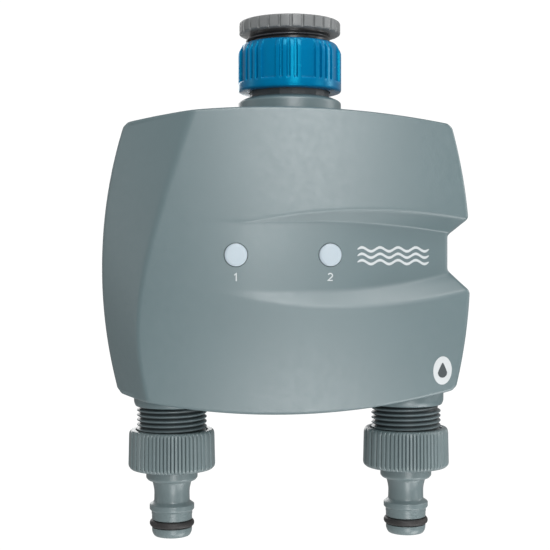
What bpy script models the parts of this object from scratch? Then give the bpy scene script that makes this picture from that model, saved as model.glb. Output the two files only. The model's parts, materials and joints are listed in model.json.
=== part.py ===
"""Two-outlet drip irrigation tap timer, built as separate pieces in metres with +Z up.

The origin lies on the inlet axis at the top face of the tap washer.
The front of the timer looks along -Y.
"""
import math

import bmesh
import bpy
from mathutils import Matrix, Vector

MM = 0.001

# Housing outline, seen from the front
BUTTON_LEVEL_Z = -77.0
TOP_APEX = (-7.0, -23.8)
TOP_ARC_RADIUS = 370.0
BOTTOM_APEX = (-6.0, -134.6)
BOTTOM_ARC_RADIUS = 262.0
LEFT_REACH = 70.6
LEFT_ARC_RADIUS = 178.0
RIGHT_REACH = 64.2
RIGHT_ARC_RADIUS = 208.0
SIDE_WIDEST_Z = -82.0
CORNER_RADIUS = 2.0
NOTCH_FLOOR_X = 57.0
RIGHT_DRAFT = 4.4

# Housing depth
FRONT_CROWN = 32.0
FRONT_CURVE_X = 0.0015
FRONT_CURVE_Z = 0.0016
FLANK_EDGE_DEPTH = 6.5
FLANK_NEAREST_X = -56.4
FLANK_NEAREST_Z = -104.5
FLANK_SLOPE = 0.359
FLANK_BEND = 30.0
SCOOP_START_X = -18.0
SCOOP_DEPTH = 7.5
BACK_DEPTH = 28.0
WALL = 2.4
FRONT_EDGE_RADIUS = 1.5
BACK_EDGE_RADIUS = 4.0
SEAM_HALF_GAP = 0.6

# Inlet
NECK_RADIUS = 15.1
INLET_COLLAR_RADIUS = 19.5
NUT_RADIUS = 19.6
NUT_BOTTOM_Z = -15.5
NUT_TOP_Z = 2.6
REDUCER_FLANGE_RADIUS = 19.2
REDUCER_TOP_Z = 11.0
REDUCER_THREAD_CREST = 16.62
REDUCER_THREAD_ROOT = 15.2
REDUCER_PITCH = 2.309
TAP_BORE_RADIUS = 13.4

# Outlets
OUTLET_X = 44.8
OUTLET_THREAD_CREST = 13.22
OUTLET_THREAD_ROOT = 12.06
OUTLET_PITCH = 1.814
STUB_END_Z = -152.5
HOSE_NUT_RADIUS = 16.4
HOSE_NUT_TOP_Z = -143.0
HOSE_NUT_BOTTOM_Z = -157.8
HOSE_TIP_Z = -183.5
HOSE_BORE_RADIUS = 5.5

# Buttons
BUTTON_X = (-21.2, 12.6)
BUTTON_RADIUS = 4.1
BUTTON_PROUD = 0.5
SWITCH_FACE_Y = -18.8

# Rear screws
SCREW_PLACES = ((-57.0, -38.0), (53.0, -38.0), (-63.0, -106.0), (62.2, -107.5), (-25.0, -122.0), (25.0, -122.0))
BOSS_RADIUS = 3.0
SIDE_BOSS_DEPTH = 7.0


def clear_scene():
    for item in list(bpy.data.objects):
        bpy.data.objects.remove(item, do_unlink=True)


def make_material(name, colour, roughness, metallic=0.0):
    material = bpy.data.materials.new(name)
    material.use_nodes = True
    shader = material.node_tree.nodes["Principled BSDF"]
    shader.inputs["Base Color"].default_value = (colour[0], colour[1], colour[2], 1.0)
    shader.inputs["Roughness"].default_value = roughness
    shader.inputs["Metallic"].default_value = metallic
    material.diffuse_color = (colour[0], colour[1], colour[2], 1.0)
    return material


def finish_object(name, bm, slot, place=(0.0, 0.0, 0.0), turn=(0.0, 0.0, 0.0), angle=35.0):
    """Close a mesh, face it outward and place it in the scene."""
    bmesh.ops.recalc_face_normals(bm, faces=bm.faces[:])
    mesh = bpy.data.meshes.new(name)
    bm.to_mesh(mesh)
    bm.free()
    item = bpy.data.objects.new(name, mesh)
    bpy.context.scene.collection.objects.link(item)
    look = SLOT_LOOKS[slot]
    item.data.materials.append(make_material(name + "_finish", look[0], look[1], look[2]))
    item.location = Vector(place) * MM
    item.rotation_euler = [math.radians(value) for value in turn]
    mesh.shade_smooth()
    mesh.set_sharp_from_angle(angle=math.radians(angle))
    return item


SLOT_LOOKS = {
    "housing": ((0.19, 0.25, 0.26), 0.42, 0.0),
    "dark_plastic": ((0.05, 0.065, 0.07), 0.45, 0.0),
    "nut_blue": ((0.0, 0.20, 0.40), 0.3, 0.0),
    "reducer_grey": ((0.22, 0.23, 0.23), 0.4, 0.0),
    "rubber": ((0.02, 0.02, 0.02), 0.7, 0.0),
    "button": ((0.62, 0.70, 0.76), 0.35, 0.0),
    "board": ((0.02, 0.16, 0.07), 0.5, 0.0),
    "steel": ((0.55, 0.55, 0.55), 0.3, 1.0),
    "coil": ((0.35, 0.10, 0.04), 0.5, 0.0),
    "cell": ((0.60, 0.60, 0.58), 0.35, 0.0),
    "hose_plastic": ((0.20, 0.26, 0.27), 0.38, 0.0),
}


def add_ring(bm, radii_or_radius, z, count, offset=0.0):
    """One level ring of points. The radius is a number or a function of the angle."""
    ring = []
    for index in range(count):
        angle = 2.0 * math.pi * index / count + offset
        radius = radii_or_radius(angle) if callable(radii_or_radius) else radii_or_radius
        ring.append(bm.verts.new((radius * math.cos(angle) * MM, radius * math.sin(angle) * MM, z * MM)))
    return ring


def add_angle_ring(bm, angles, radii, z):
    """One level ring with its own list of angles and radii."""
    ring = []
    for angle, radius in zip(angles, radii):
        ring.append(bm.verts.new((radius * math.cos(angle) * MM, radius * math.sin(angle) * MM, z * MM)))
    return ring


def join_rings(bm, lower, upper):
    """Faces between two closed rings whose counts are equal or a whole multiple."""
    few, many = (lower, upper) if len(lower) <= len(upper) else (upper, lower)
    step = len(many) // len(few)
    total = len(many)
    for index, start in enumerate(few):
        following = few[(index + 1) % len(few)]
        first = index * step
        if step == 1:
            bm.faces.new((start, following, many[(first + 1) % total], many[first]))
            continue
        middle = step // 2
        for part in range(step):
            near = many[(first + part) % total]
            far = many[(first + part + 1) % total]
            if part < middle:
                bm.faces.new((start, far, near))
            elif part == middle:
                bm.faces.new((start, following, far, near))
            else:
                bm.faces.new((following, far, near))


def close_ring(bm, ring):
    bm.faces.new(ring)


def lathe(name, profile, slot, count=24, place=(0.0, 0.0, 0.0), turn=(0.0, 0.0, 0.0), loop=True, angle=35.0):
    """Turn a profile of (radius, height) about Z. A loop has a bore; otherwise both ends are flat caps."""
    bm = bmesh.new()
    rings = [add_ring(bm, radius, z, count) for radius, z in profile]
    for first, second in zip(rings[:-1], rings[1:]):
        join_rings(bm, first, second)
    if loop:
        join_rings(bm, rings[-1], rings[0])
    else:
        close_ring(bm, rings[0])
        close_ring(bm, rings[-1])
    return finish_object(name, bm, slot, place, turn, angle)


def add_thread(bm, lower_ring, root, crest, z_start, pitch, turns, count, top_z):
    """Grow a right-hand thread upward from a level ring and end it with a level ring."""
    def spiral_point(step, radius, lift):
        angle = 2.0 * math.pi * step / count
        z = z_start + lift + pitch * step / count
        return bm.verts.new((radius * math.cos(angle) * MM, radius * math.sin(angle) * MM, z * MM))

    steps = turns * count
    roots = [lower_ring[0]]
    for step in range(1, steps + count + 1):
        roots.append(spiral_point(step, root, 0.0))
    crests = [spiral_point(step, crest, 0.5 * pitch) for step in range(steps + 1)]
    for step in range(count):
        corners = [lower_ring[step], lower_ring[(step + 1) % count], roots[step + 1]]
        if step > 0:
            corners.append(roots[step])
        bm.faces.new(corners)
    for step in range(steps):
        bm.faces.new((roots[step], roots[step + 1], crests[step + 1], crests[step]))
        bm.faces.new((crests[step], crests[step + 1], roots[step + count + 1], roots[step + count]))
    bm.faces.new((roots[0], crests[0], roots[count]))
    bm.faces.new((roots[steps], crests[steps], roots[steps + count]))
    upper_ring = add_ring(bm, root, top_z, count)
    for step in range(count):
        low = roots[steps + step]
        high = roots[steps + step + 1]
        bm.faces.new((low, high, upper_ring[(step + 1) % count], upper_ring[step]))
    bm.faces.new((roots[steps], roots[steps + count], upper_ring[0]))
    return upper_ring


def box_mesh(bm, low, high):
    corners = []
    for x in (low[0], high[0]):
        for y in (low[1], high[1]):
            for z in (low[2], high[2]):
                corners.append(bm.verts.new((x * MM, y * MM, z * MM)))
    for face in ((0, 1, 3, 2), (4, 6, 7, 5), (0, 4, 5, 1), (2, 3, 7, 6), (0, 2, 6, 4), (1, 5, 7, 3)):
        bm.faces.new([corners[index] for index in face])


def box(name, low, high, slot):
    bm = bmesh.new()
    box_mesh(bm, low, high)
    return finish_object(name, bm, slot)


def tube_mesh(bm, start, end, radius, count):
    """A plain capped cylinder between two points."""
    start = Vector(start) * MM
    end = Vector(end) * MM
    matrix = (end - start).to_track_quat("Z", "Y").to_matrix().to_4x4()
    matrix.translation = (start + end) * 0.5
    bmesh.ops.create_cone(
        bm,
        cap_ends=True,
        cap_tris=False,
        segments=count,
        radius1=radius * MM,
        radius2=radius * MM,
        depth=(end - start).length,
        matrix=matrix,
    )


def shape_tool(name, kind, values, count=20):
    """A hidden solid that is joined to or cut from another piece."""
    bm = bmesh.new()
    if kind == "box":
        box_mesh(bm, values[0], values[1])
    else:
        tube_mesh(bm, values[0], values[1], values[2], count)
    bmesh.ops.recalc_face_normals(bm, faces=bm.faces[:])
    mesh = bpy.data.meshes.new(name)
    bm.to_mesh(mesh)
    bm.free()
    tool = bpy.data.objects.new(name, mesh)
    bpy.context.scene.collection.objects.link(tool)
    tool.hide_render = True
    tool.display_type = "WIRE"
    return tool


def apply_boolean(item, tool, operation):
    modifier = item.modifiers.new(operation.lower(), "BOOLEAN")
    modifier.operation = operation
    modifier.solver = "EXACT"
    modifier.object = tool
    graph = bpy.context.evaluated_depsgraph_get()
    mesh = bpy.data.meshes.new_from_object(item.evaluated_get(graph))
    item.modifiers.clear()
    item.data = mesh
    bpy.data.objects.remove(tool, do_unlink=True)
    mesh.set_sharp_from_angle(angle=math.radians(35.0))


def cut(item, kind, values, count=20):
    apply_boolean(item, shape_tool(item.name + "_cut", kind, values, count), "DIFFERENCE")


def join(item, kind, values, count=20):
    apply_boolean(item, shape_tool(item.name + "_add", kind, values, count), "UNION")


# Housing surface


def top_edge(x):
    return TOP_APEX[1] - TOP_ARC_RADIUS + math.sqrt(TOP_ARC_RADIUS ** 2 - (x - TOP_APEX[0]) ** 2)


def bottom_edge(x):
    return BOTTOM_APEX[1] + BOTTOM_ARC_RADIUS - math.sqrt(BOTTOM_ARC_RADIUS ** 2 - (x - BOTTOM_APEX[0]) ** 2)


def left_edge(z):
    return LEFT_REACH - LEFT_ARC_RADIUS + math.sqrt(LEFT_ARC_RADIUS ** 2 - (z - SIDE_WIDEST_Z) ** 2)


def right_edge(z):
    return RIGHT_REACH - RIGHT_ARC_RADIUS + math.sqrt(RIGHT_ARC_RADIUS ** 2 - (z - SIDE_WIDEST_Z) ** 2)


def seam_x(x):
    """The right wall leans outward from the front edge to the seam."""
    return x + RIGHT_DRAFT * (max(0.0, x) / RIGHT_REACH) ** 2


def flank_line(z):
    """X of the soft edge between the front face and the left flank."""
    return FLANK_NEAREST_X + FLANK_SLOPE * (math.hypot(z - FLANK_NEAREST_Z, FLANK_BEND) - FLANK_BEND)


def scoop_lines(x):
    """Heights of the four edges of the scoop at one x, from the lowest to the highest."""
    right = max(x, -25.0)
    spread = 0.08 * max(0.0, -25.0 - x)
    lower_outer = -18.31 + (right - 15.9) ** 2 / 400.0 - spread
    lower_inner = -13.33 + (right - 1.2) ** 2 / 471.0
    right = max(x, -16.0)
    spread = 0.10 * max(0.0, -16.0 - x)
    upper_inner = 11.92 - (right - 5.1) ** 2 / 700.0
    upper_outer = 16.14 - (right - 26.0) ** 2 / 420.0 + spread
    return [BUTTON_LEVEL_Z + value for value in (lower_outer, lower_inner, upper_inner, upper_outer)]


def scoop_amount(x, z):
    lines = scoop_lines(x)
    rise = min(1.0, max(0.0, (z - lines[0]) / (lines[1] - lines[0])))
    fall = min(1.0, max(0.0, (lines[3] - z) / (lines[3] - lines[2])))
    return min(rise, fall)


def scoop_depth(x):
    run = max(0.0, x - SCOOP_START_X) / (NOTCH_FLOOR_X - SCOOP_START_X)
    return SCOOP_DEPTH * run ** 1.05


def plain_depth(x, z):
    return FRONT_CROWN - FRONT_CURVE_X * x * x - FRONT_CURVE_Z * (z - BUTTON_LEVEL_Z) ** 2


def front_depth(x, z):
    """Distance of the front surface in front of the seam plane."""
    crease = flank_line(z)
    if x >= crease:
        return plain_depth(x, z) - scoop_depth(x) * scoop_amount(x, z)
    share = (crease - x) / (crease + left_edge(z))
    start = plain_depth(crease, z)
    return start + (FLANK_EDGE_DEPTH - start) * min(1.0, share) * (1.0 - 0.12 * (1.0 - share))


def back_depth(x, z):
    return BACK_DEPTH


ROW_SHARES = (
    (0, 0.0), (0, 0.12), (0, 0.38), (0, 0.66), (0, 0.88),
    (1, 0.0), (2, 0.0), (2, 0.5), (3, 0.0), (4, 0.0),
    (4, 0.15), (4, 0.4), (4, 0.65), (4, 0.88), (4, 1.0),
)
FLANK_SHARES = (0.0, 0.35, 0.7)
FACE_SHARES = (0.0, 0.09, 0.2, 0.31, 0.42, 0.53, 0.64, 0.75, 0.86, 0.95, 1.0)


def row_height(x, band, share, inset):
    lines = [bottom_edge(x) + inset] + scoop_lines(x) + [top_edge(x) - inset]
    return lines[band] + (lines[band + 1] - lines[band]) * share


def row_end(z, band, share, inset):
    """X at which a row meets the right edge, in or out of the notch."""
    outer = right_edge(z) - inset
    inner = NOTCH_FLOOR_X - inset
    if band in (0, 4):
        return outer
    if band == 1:
        return outer + (inner - outer) * share
    if band == 3:
        return inner + (outer - inner) * share
    return inner


def round_corner(x, z, inset):
    """Pull points near the four outline corners onto a round corner."""
    radius = max(0.5, CORNER_RADIUS - inset)
    sign = 1.0 if x > 0.0 else -1.0
    reach = (right_edge(z) if x > 0.0 else left_edge(z)) - inset
    upper = z > SIDE_WIDEST_Z
    edge = top_edge(x) - inset if upper else bottom_edge(x) + inset
    across = 1.0 - (reach - abs(x)) / radius
    along = 1.0 - abs(edge - z) / radius
    if across <= 0.0 or along <= 0.0:
        return x, z
    new_across = across * math.sqrt(1.0 - 0.5 * along * along)
    new_along = along * math.sqrt(1.0 - 0.5 * across * across)
    x_new = sign * (reach - radius * (1.0 - new_across))
    z_step = radius * (1.0 - new_along)
    z_new = edge - z_step if upper else edge + z_step
    return x_new, z_new


def surface_grid(inset, depth_at, lower_by):
    """Rows of (x, depth, z) that follow the edges of the housing's face."""
    rows = []
    for band, share in ROW_SHARES:
        row = []
        for part, shares in ((0, FLANK_SHARES), (1, FACE_SHARES)):
            for fraction in shares:
                x = 0.0
                z = BUTTON_LEVEL_Z
                for _ in range(12):
                    crease = flank_line(z)
                    if part == 0:
                        edge = inset - left_edge(z)
                        x = edge + (crease - edge) * fraction
                    else:
                        x = crease + (row_end(z, band, share, inset) - crease) * fraction
                    z = row_height(x, band, share, inset)
                x, z = round_corner(x, z, inset)
                row.append((x, depth_at(x, z) - lower_by, z))
        rows.append(row)
    return rows


def grid_border(grid):
    """The grid's outer points in order: bottom, right, top, left."""
    last_row = len(grid) - 1
    last_column = len(grid[0]) - 1
    border = [(0, column) for column in range(last_column)]
    border += [(row, last_column) for row in range(last_row)]
    border += [(last_row, column) for column in range(last_column, 0, -1)]
    border += [(row, 0) for row in range(last_row, 0, -1)]
    return border


def border_normals(points):
    """Outward directions in the front view along a closed list of points."""
    normals = []
    total = len(points)
    for index in range(total):
        before = Vector((points[index - 1][0], points[index - 1][2]))
        here = Vector((points[index][0], points[index][2]))
        after = Vector((points[(index + 1) % total][0], points[(index + 1) % total][2]))
        first = (here - before).normalized()
        second = (after - here).normalized()
        tangent = (first + second).normalized()
        normals.append(Vector((tangent.y, -tangent.x)))
    return normals


def shell(name, direction, depth_at, edge_radius):
    """A hollow half of the housing. Direction is -1 for the front and 1 for the back."""
    bm = bmesh.new()

    def add_point(x, depth, z):
        if direction > 0.0 or depth == SEAM_HALF_GAP:
            x = seam_x(x)
        return bm.verts.new((x * MM, direction * depth * MM, z * MM))

    outer = surface_grid(edge_radius, depth_at, 0.0)
    inner = surface_grid(WALL + 0.4, depth_at, WALL + 0.2)
    loops = []
    for grid in (outer, inner):
        points = [[add_point(*value) for value in row] for row in grid]
        for row in range(len(points) - 1):
            for column in range(len(points[0]) - 1):
                bm.faces.new((
                    points[row][column],
                    points[row][column + 1],
                    points[row + 1][column + 1],
                    points[row + 1][column],
                ))
        border = grid_border(grid)
        loops.append(([grid[row][column] for row, column in border], [points[row][column] for row, column in border]))

    values, ring = loops[0]
    normals = border_normals(values)
    steps = [(0.7, 0.29), (1.0, 1.0)]
    for out_share, down_share in steps:
        fresh = []
        for value, normal in zip(values, normals):
            x = value[0] + normal.x * edge_radius * out_share
            z = value[2] + normal.y * edge_radius * out_share
            fresh.append(add_point(x, value[1] - edge_radius * down_share, z))
        join_rings(bm, ring, fresh)
        ring = fresh
    rim_outer = []
    for value, normal in zip(values, normals):
        x = value[0] + normal.x * edge_radius
        z = value[2] + normal.y * edge_radius
        rim_outer.append(add_point(x, SEAM_HALF_GAP, z))
    join_rings(bm, ring, rim_outer)
    values, inner_ring = loops[1]
    normals = border_normals(values)
    rim_inner = []
    for value, normal in zip(values, normals):
        rim_inner.append(add_point(value[0] + normal.x * 0.4, SEAM_HALF_GAP, value[2] + normal.y * 0.4))
    join_rings(bm, rim_outer, rim_inner)
    join_rings(bm, rim_inner, inner_ring)
    return finish_object(name, bm, "housing")


def outline_points(inset):
    grid = surface_grid(inset + 1.0, back_depth, 0.0)
    values = [grid[row][column] for row, column in grid_border(grid)]
    normals = border_normals(values)
    return [(seam_x(value[0] + normal.x), value[2] + normal.y) for value, normal in zip(values, normals)]


def in_opening(point):
    """True where the seam is taken up by the inlet or an outlet."""
    x, z = point
    if z > SIDE_WIDEST_Z:
        return abs(x) < 22.5
    return z < -115.0 and abs(abs(x) - OUTLET_X) < 16.0


def seam_seals():
    outer = outline_points(0.8)
    inner = outline_points(2.2)
    total = len(outer)
    start = next(index for index in range(total) if in_opening(outer[index]))
    runs = []
    run = []
    for step in range(total + 1):
        index = (start + step) % total
        if in_opening(outer[index]):
            if len(run) > 1:
                runs.append(run)
            run = []
        else:
            run.append(index)
    names = {}
    for run in runs:
        mean = sum(outer[index][0] for index in run) / len(run)
        if abs(mean) < 15.0:
            names["seam_seal_bottom"] = run
        elif mean < 0.0:
            names["seam_seal_left"] = run
        else:
            names["seam_seal_right"] = run
    for name, run in sorted(names.items()):
        bm = bmesh.new()
        sections = []
        for index in run:
            section = []
            for point, y in ((outer[index], -0.3), (outer[index], 0.3), (inner[index], 0.3), (inner[index], -0.3)):
                section.append(bm.verts.new((point[0] * MM, y * MM, point[1] * MM)))
            sections.append(section)
        for first, second in zip(sections[:-1], sections[1:]):
            join_rings(bm, first, second)
        bm.faces.new(sections[0])
        bm.faces.new(sections[-1])
        finish_object(name, bm, "rubber")


def boss_depth(x, z):
    """How far a screw boss reaches into the front half of the housing."""
    depth = min(front_depth(x - BOSS_RADIUS, z), front_depth(x + BOSS_RADIUS, z)) - 1.5
    return min(depth, SIDE_BOSS_DEPTH) if x > 60.0 else depth


def build_housing():
    front = shell("housing_front", -1.0, front_depth, FRONT_EDGE_RADIUS)
    back = shell("housing_back", 1.0, back_depth, BACK_EDGE_RADIUS)
    for x, z in SCREW_PLACES:
        back_start = BACK_DEPTH - 1.0
        join(back, "tube", ((x, 1.6, z), (x, back_start, z), BOSS_RADIUS + 0.1), 12)
        join(back, "tube", ((x, 20.5, z), (x, back_start - 0.2, z), BOSS_RADIUS + 1.5), 12)
        cut(back, "tube", ((x, BACK_DEPTH - 3.6, z), (x, BACK_DEPTH + 2.0, z), 3.3), 12)
        cut(back, "tube", ((x, 0.0, z), (x, BACK_DEPTH - 2.0, z), 1.9), 8)
        depth = boss_depth(x, z)
        join(front, "tube", ((x, -1.6, z), (x, -depth, z), BOSS_RADIUS), 12)
        cut(front, "tube", ((x, 0.0, z), (x, -min(depth - 1.6, 12.0), z), 1.9), 8)
    for item in (front, back):
        cut(item, "tube", ((0.0, 0.0, -32.0), (0.0, 0.0, -10.0), INLET_COLLAR_RADIUS + 0.3), 32)
        for side in (-1.0, 1.0):
            x = side * OUTLET_X
            cut(item, "tube", ((x, 0.0, -145.0), (x, 0.0, -122.0), 14.6), 28)
    for x in BUTTON_X:
        cut(front, "tube", ((x, -45.0, BUTTON_LEVEL_Z), (x, -20.0, BUTTON_LEVEL_Z), BUTTON_RADIUS + 0.35), 20)
    cut(back, "box", ((-18.4, 3.3, -140.0), (18.4, 22.3, -126.0)))
    collar = (
        (15.4, -28.0), (19.5, -28.0), (19.5, -20.0), (18.8, -19.1), (15.6, -19.1), (15.4, -19.4),
    )
    lathe("inlet_collar", collar, "housing", 28)
    for number, side in ((1, -1.0), (2, 1.0)):
        ring = ((13.5, -124.5), (14.3, -124.5), (14.3, -132.8), (13.9, -134.0), (13.5, -134.0))
        lathe("outlet_collar_%d" % number, ring, "housing", 28, (side * OUTLET_X, 0.0, 0.0))
    seam_seals()


def build_screws():
    profile = ((0.9, 0.0), (1.5, 0.7), (1.5, 25.6), (2.8, 25.7), (2.8, 27.2), (2.3, 27.7))
    for number, (x, z) in enumerate(SCREW_PLACES, 1):
        start = 1.0 - min(boss_depth(x, z) - 1.6, 12.0)
        shift = BACK_DEPTH - 29.2
        moved = [(radius, height + (start if height < 1.0 else shift)) for radius, height in profile]
        lathe("rear_screw_%d" % number, moved, "steel", 10, (x, 0.0, z), (-90.0, 0.0, 0.0), loop=False)


# Inlet pieces


def nut_angles():
    """Angles and groove marks of the inlet nut: eight groups of three grooves."""
    angles = []
    marks = []
    for group in range(8):
        centre = math.radians(-90.0 + 2.0 + 45.0 * group)
        for groove in (-8.9, 0.0, 8.9):
            for offset, deep in ((-2.9, 0.0), (-1.6, 1.0), (1.6, 1.0), (2.9, 0.0)):
                angles.append(centre + math.radians(groove + offset))
                marks.append(deep)
        for offset in (17.0, 20.5, 24.5, 28.0):
            angles.append(centre + math.radians(offset))
            marks.append(0.0)
    return angles, marks


def build_inlet_nut():
    bm = bmesh.new()
    angles, marks = nut_angles()
    count = len(angles) // 4

    def outer_ring(radius, z, depth):
        return add_angle_ring(bm, angles, [radius - depth * mark for mark in marks], z)

    def inner_ring(radius, z):
        few = [angles[index] for index in range(0, len(angles), 4)]
        return add_angle_ring(bm, few, [radius] * count, z)

    rings = [
        inner_ring(15.4, NUT_BOTTOM_Z),
        outer_ring(18.9, NUT_BOTTOM_Z, 0.0),
        outer_ring(NUT_RADIUS, NUT_BOTTOM_Z + 0.6, 0.0),
        outer_ring(NUT_RADIUS, -12.1, 0.0),
        outer_ring(NUT_RADIUS, -11.4, 0.9),
        outer_ring(NUT_RADIUS, -0.5, 0.9),
        outer_ring(17.5, NUT_TOP_Z, 0.0),
        inner_ring(16.9, NUT_TOP_Z),
        inner_ring(16.9, -12.8),
        inner_ring(15.4, -12.8),
    ]
    for first, second in zip(rings[:-1], rings[1:]):
        join_rings(bm, first, second)
    join_rings(bm, rings[-1], rings[0])
    finish_object("inlet_nut", bm, "nut_blue")


def build_reducer():
    bm = bmesh.new()
    count = 28
    bottom_inner = add_ring(bm, 8.5, -3.5, count)
    bottom_outer = add_ring(bm, REDUCER_THREAD_ROOT - 0.5, -3.5, count)
    thread_foot = add_ring(bm, REDUCER_THREAD_ROOT, -3.0, count)
    join_rings(bm, bottom_inner, bottom_outer)
    join_rings(bm, bottom_outer, thread_foot)
    thread_top = add_thread(
        bm, thread_foot, REDUCER_THREAD_ROOT, REDUCER_THREAD_CREST, -3.0, REDUCER_PITCH, 2, count, 5.2
    )
    neck_top = add_ring(bm, REDUCER_THREAD_ROOT, 6.4, count)
    join_rings(bm, thread_top, neck_top)

    def grooved(radius, z, depth):
        angles = []
        radii = []
        for index in range(count):
            centre = 2.0 * math.pi * index / count
            for offset, mark in ((0.0, 1.0), (2.2, 0.0), (10.6, 0.0)):
                angles.append(centre + math.radians(offset))
                radii.append(radius - depth * mark)
        return add_angle_ring(bm, angles, radii, z)

    rings = [
        neck_top,
        grooved(REDUCER_FLANGE_RADIUS - 0.4, 6.4, 0.5),
        grooved(REDUCER_FLANGE_RADIUS, 6.8, 0.6),
        grooved(REDUCER_FLANGE_RADIUS, 10.3, 0.6),
        grooved(REDUCER_FLANGE_RADIUS - 0.6, REDUCER_TOP_Z, 0.0),
        add_ring(bm, TAP_BORE_RADIUS + 0.6, REDUCER_TOP_Z, count),
        add_ring(bm, TAP_BORE_RADIUS, 10.4, count),
        add_ring(bm, TAP_BORE_RADIUS, -2.2, count),
        add_ring(bm, 8.5, -2.2, count),
    ]
    for first, second in zip(rings[:-1], rings[1:]):
        join_rings(bm, first, second)
    join_rings(bm, rings[-1], bottom_inner)
    finish_object("reducer", bm, "reducer_grey")


def build_manifold():
    profile = (
        (7.5, -46.0), (10.0, -46.0), (10.0, -30.0), (NECK_RADIUS, -28.0), (NECK_RADIUS, -12.5),
        (16.3, -12.5), (16.3, -9.7), (7.5, -9.7),
    )
    manifold = lathe("manifold", profile, "dark_plastic", 20)
    join(manifold, "tube", ((-29.3, 0.0, -40.0), (29.3, 0.0, -40.0), 5.6), 12)
    for side in (-1.0, 1.0):
        x = side * 24.5
        join(manifold, "tube", ((x, 0.0, -43.0), (x, 0.0, -115.5), 4.9), 12)
        join(manifold, "tube", ((x, 0.0, -110.0), (side * 34.0, 0.0, -110.0), 4.4), 12)
        cut(manifold, "tube", ((x, 0.0, -38.0), (x, 0.0, -112.5), 3.1), 10)
        cut(manifold, "tube", ((x, 0.0, -110.0), (side * 36.0, 0.0, -110.0), 2.9), 10)
    cut(manifold, "tube", ((-26.0, 0.0, -40.0), (26.0, 0.0, -40.0), 3.5), 10)
    join(manifold, "tube", ((0.0, 0.0, -49.0), (0.0, 0.0, -44.5), 9.0), 16)


def build_strainer():
    profile = ((3.2, -8.6), (8.6, -8.6), (9.0, -9.4), (16.2, -9.4), (16.2, -7.0), (9.6, -7.0), (9.2, -7.8), (3.2, -7.8))
    strainer = lathe("strainer_washer", profile, "rubber", 20)
    for index in range(4):
        angle = math.radians(90.0 * index + 31.0)
        x = 6.2 * math.cos(angle)
        y = 6.2 * math.sin(angle)
        cut(strainer, "tube", ((x, y, -12.0), (x, y, -5.0), 1.3), 6)


def build_inlet():
    build_inlet_nut()
    build_reducer()
    build_manifold()
    build_strainer()
    lathe("tap_washer", ((8.5, -2.0), (13.1, -2.0), (13.1, 0.0), (8.5, 0.0)), "rubber", 28)


# Outlet pieces


def build_valve_body(number, side):
    bm = bmesh.new()
    count = 20
    end_ring = add_ring(bm, OUTLET_THREAD_ROOT - 0.5, STUB_END_Z, count)
    foot_ring = add_ring(bm, OUTLET_THREAD_ROOT, STUB_END_Z + 0.6, count)
    join_rings(bm, end_ring, foot_ring)
    thread_top = add_thread(
        bm, foot_ring, OUTLET_THREAD_ROOT, OUTLET_THREAD_CREST, STUB_END_Z + 0.6, OUTLET_PITCH, 9, count, -133.6
    )
    profile = (
        (13.2, -133.3), (13.2, -119.0), (13.5, -118.6), (13.5, -104.5), (15.0, -104.0), (15.0, -100.4),
        (10.5, -100.4), (10.5, -117.0), (6.2, -117.0), (6.2, -100.4), (4.5, -100.4), (4.5, -119.0),
        (8.0, -125.0), (8.0, STUB_END_Z),
    )
    rings = [thread_top] + [add_ring(bm, radius, z, count) for radius, z in profile]
    for first, second in zip(rings[:-1], rings[1:]):
        join_rings(bm, first, second)
    join_rings(bm, rings[-1], end_ring)
    item = finish_object("valve_body_%d" % number, bm, "dark_plastic", (side * OUTLET_X, 0.0, 0.0))
    near = side * (25.0 - OUTLET_X)
    far = side * (36.5 - OUTLET_X)
    tool = shape_tool("port", "tube", ((near, 0.0, -110.0), (far, 0.0, -110.0), 4.8), 12)
    tool.location = item.location
    bpy.context.view_layer.update()
    apply_boolean(item, tool, "DIFFERENCE")


def build_valve(number, side):
    place = (side * OUTLET_X, 0.0, 0.0)
    build_valve_body(number, side)
    bonnet = (
        (4.1, -94.0), (12.0, -94.0), (15.0, -95.5), (15.0, -99.8), (13.0, -99.8), (13.0, -96.2), (4.1, -96.2),
    )
    lathe("valve_bonnet_%d" % number, bonnet, "dark_plastic", 20, place)
    solenoid = (
        (4.2, -93.8), (8.0, -93.8), (10.0, -92.8), (10.0, -63.0), (9.0, -62.0), (0.6, -62.0), (0.6, -67.8), (4.2, -67.8),
    )
    lathe("solenoid_%d" % number, solenoid, "coil", 18, place)
    disc = ((0.8, -100.1), (12.4, -100.1), (12.4, -99.1), (7.0, -98.7), (0.8, -98.7))
    lathe("valve_disc_%d" % number, disc, "rubber", 18, place, loop=False)
    plunger = ((3.0, -98.5), (3.7, -97.9), (3.7, -75.6), (2.0, -74.6))
    lathe("plunger_%d" % number, plunger, "steel", 14, place, loop=False)
    build_spring("plunger_spring_%d" % number, place, -74.4, -68.0, 2.9, 0.4, 4)


def build_spring(name, place, low, high, radius, wire, turns):
    """A coil of round wire standing on Z between two heights."""
    bm = bmesh.new()
    per_turn = 8
    steps = turns * per_turn
    around = 4
    start = low + wire
    rise = high - low - 2.0 * wire
    sections = []
    for step in range(steps + 1):
        angle = 2.0 * math.pi * step / per_turn
        z = start + rise * step / steps
        section = []
        for index in range(around):
            phase = 2.0 * math.pi * index / around
            reach = radius + wire * math.cos(phase)
            height = z + wire * math.sin(phase)
            section.append(bm.verts.new((reach * math.cos(angle) * MM, reach * math.sin(angle) * MM, height * MM)))
        sections.append(section)
    for first, second in zip(sections[:-1], sections[1:]):
        join_rings(bm, first, second)
    bm.faces.new(sections[0])
    bm.faces.new(sections[-1])
    finish_object(name, bm, "steel", place)


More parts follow.
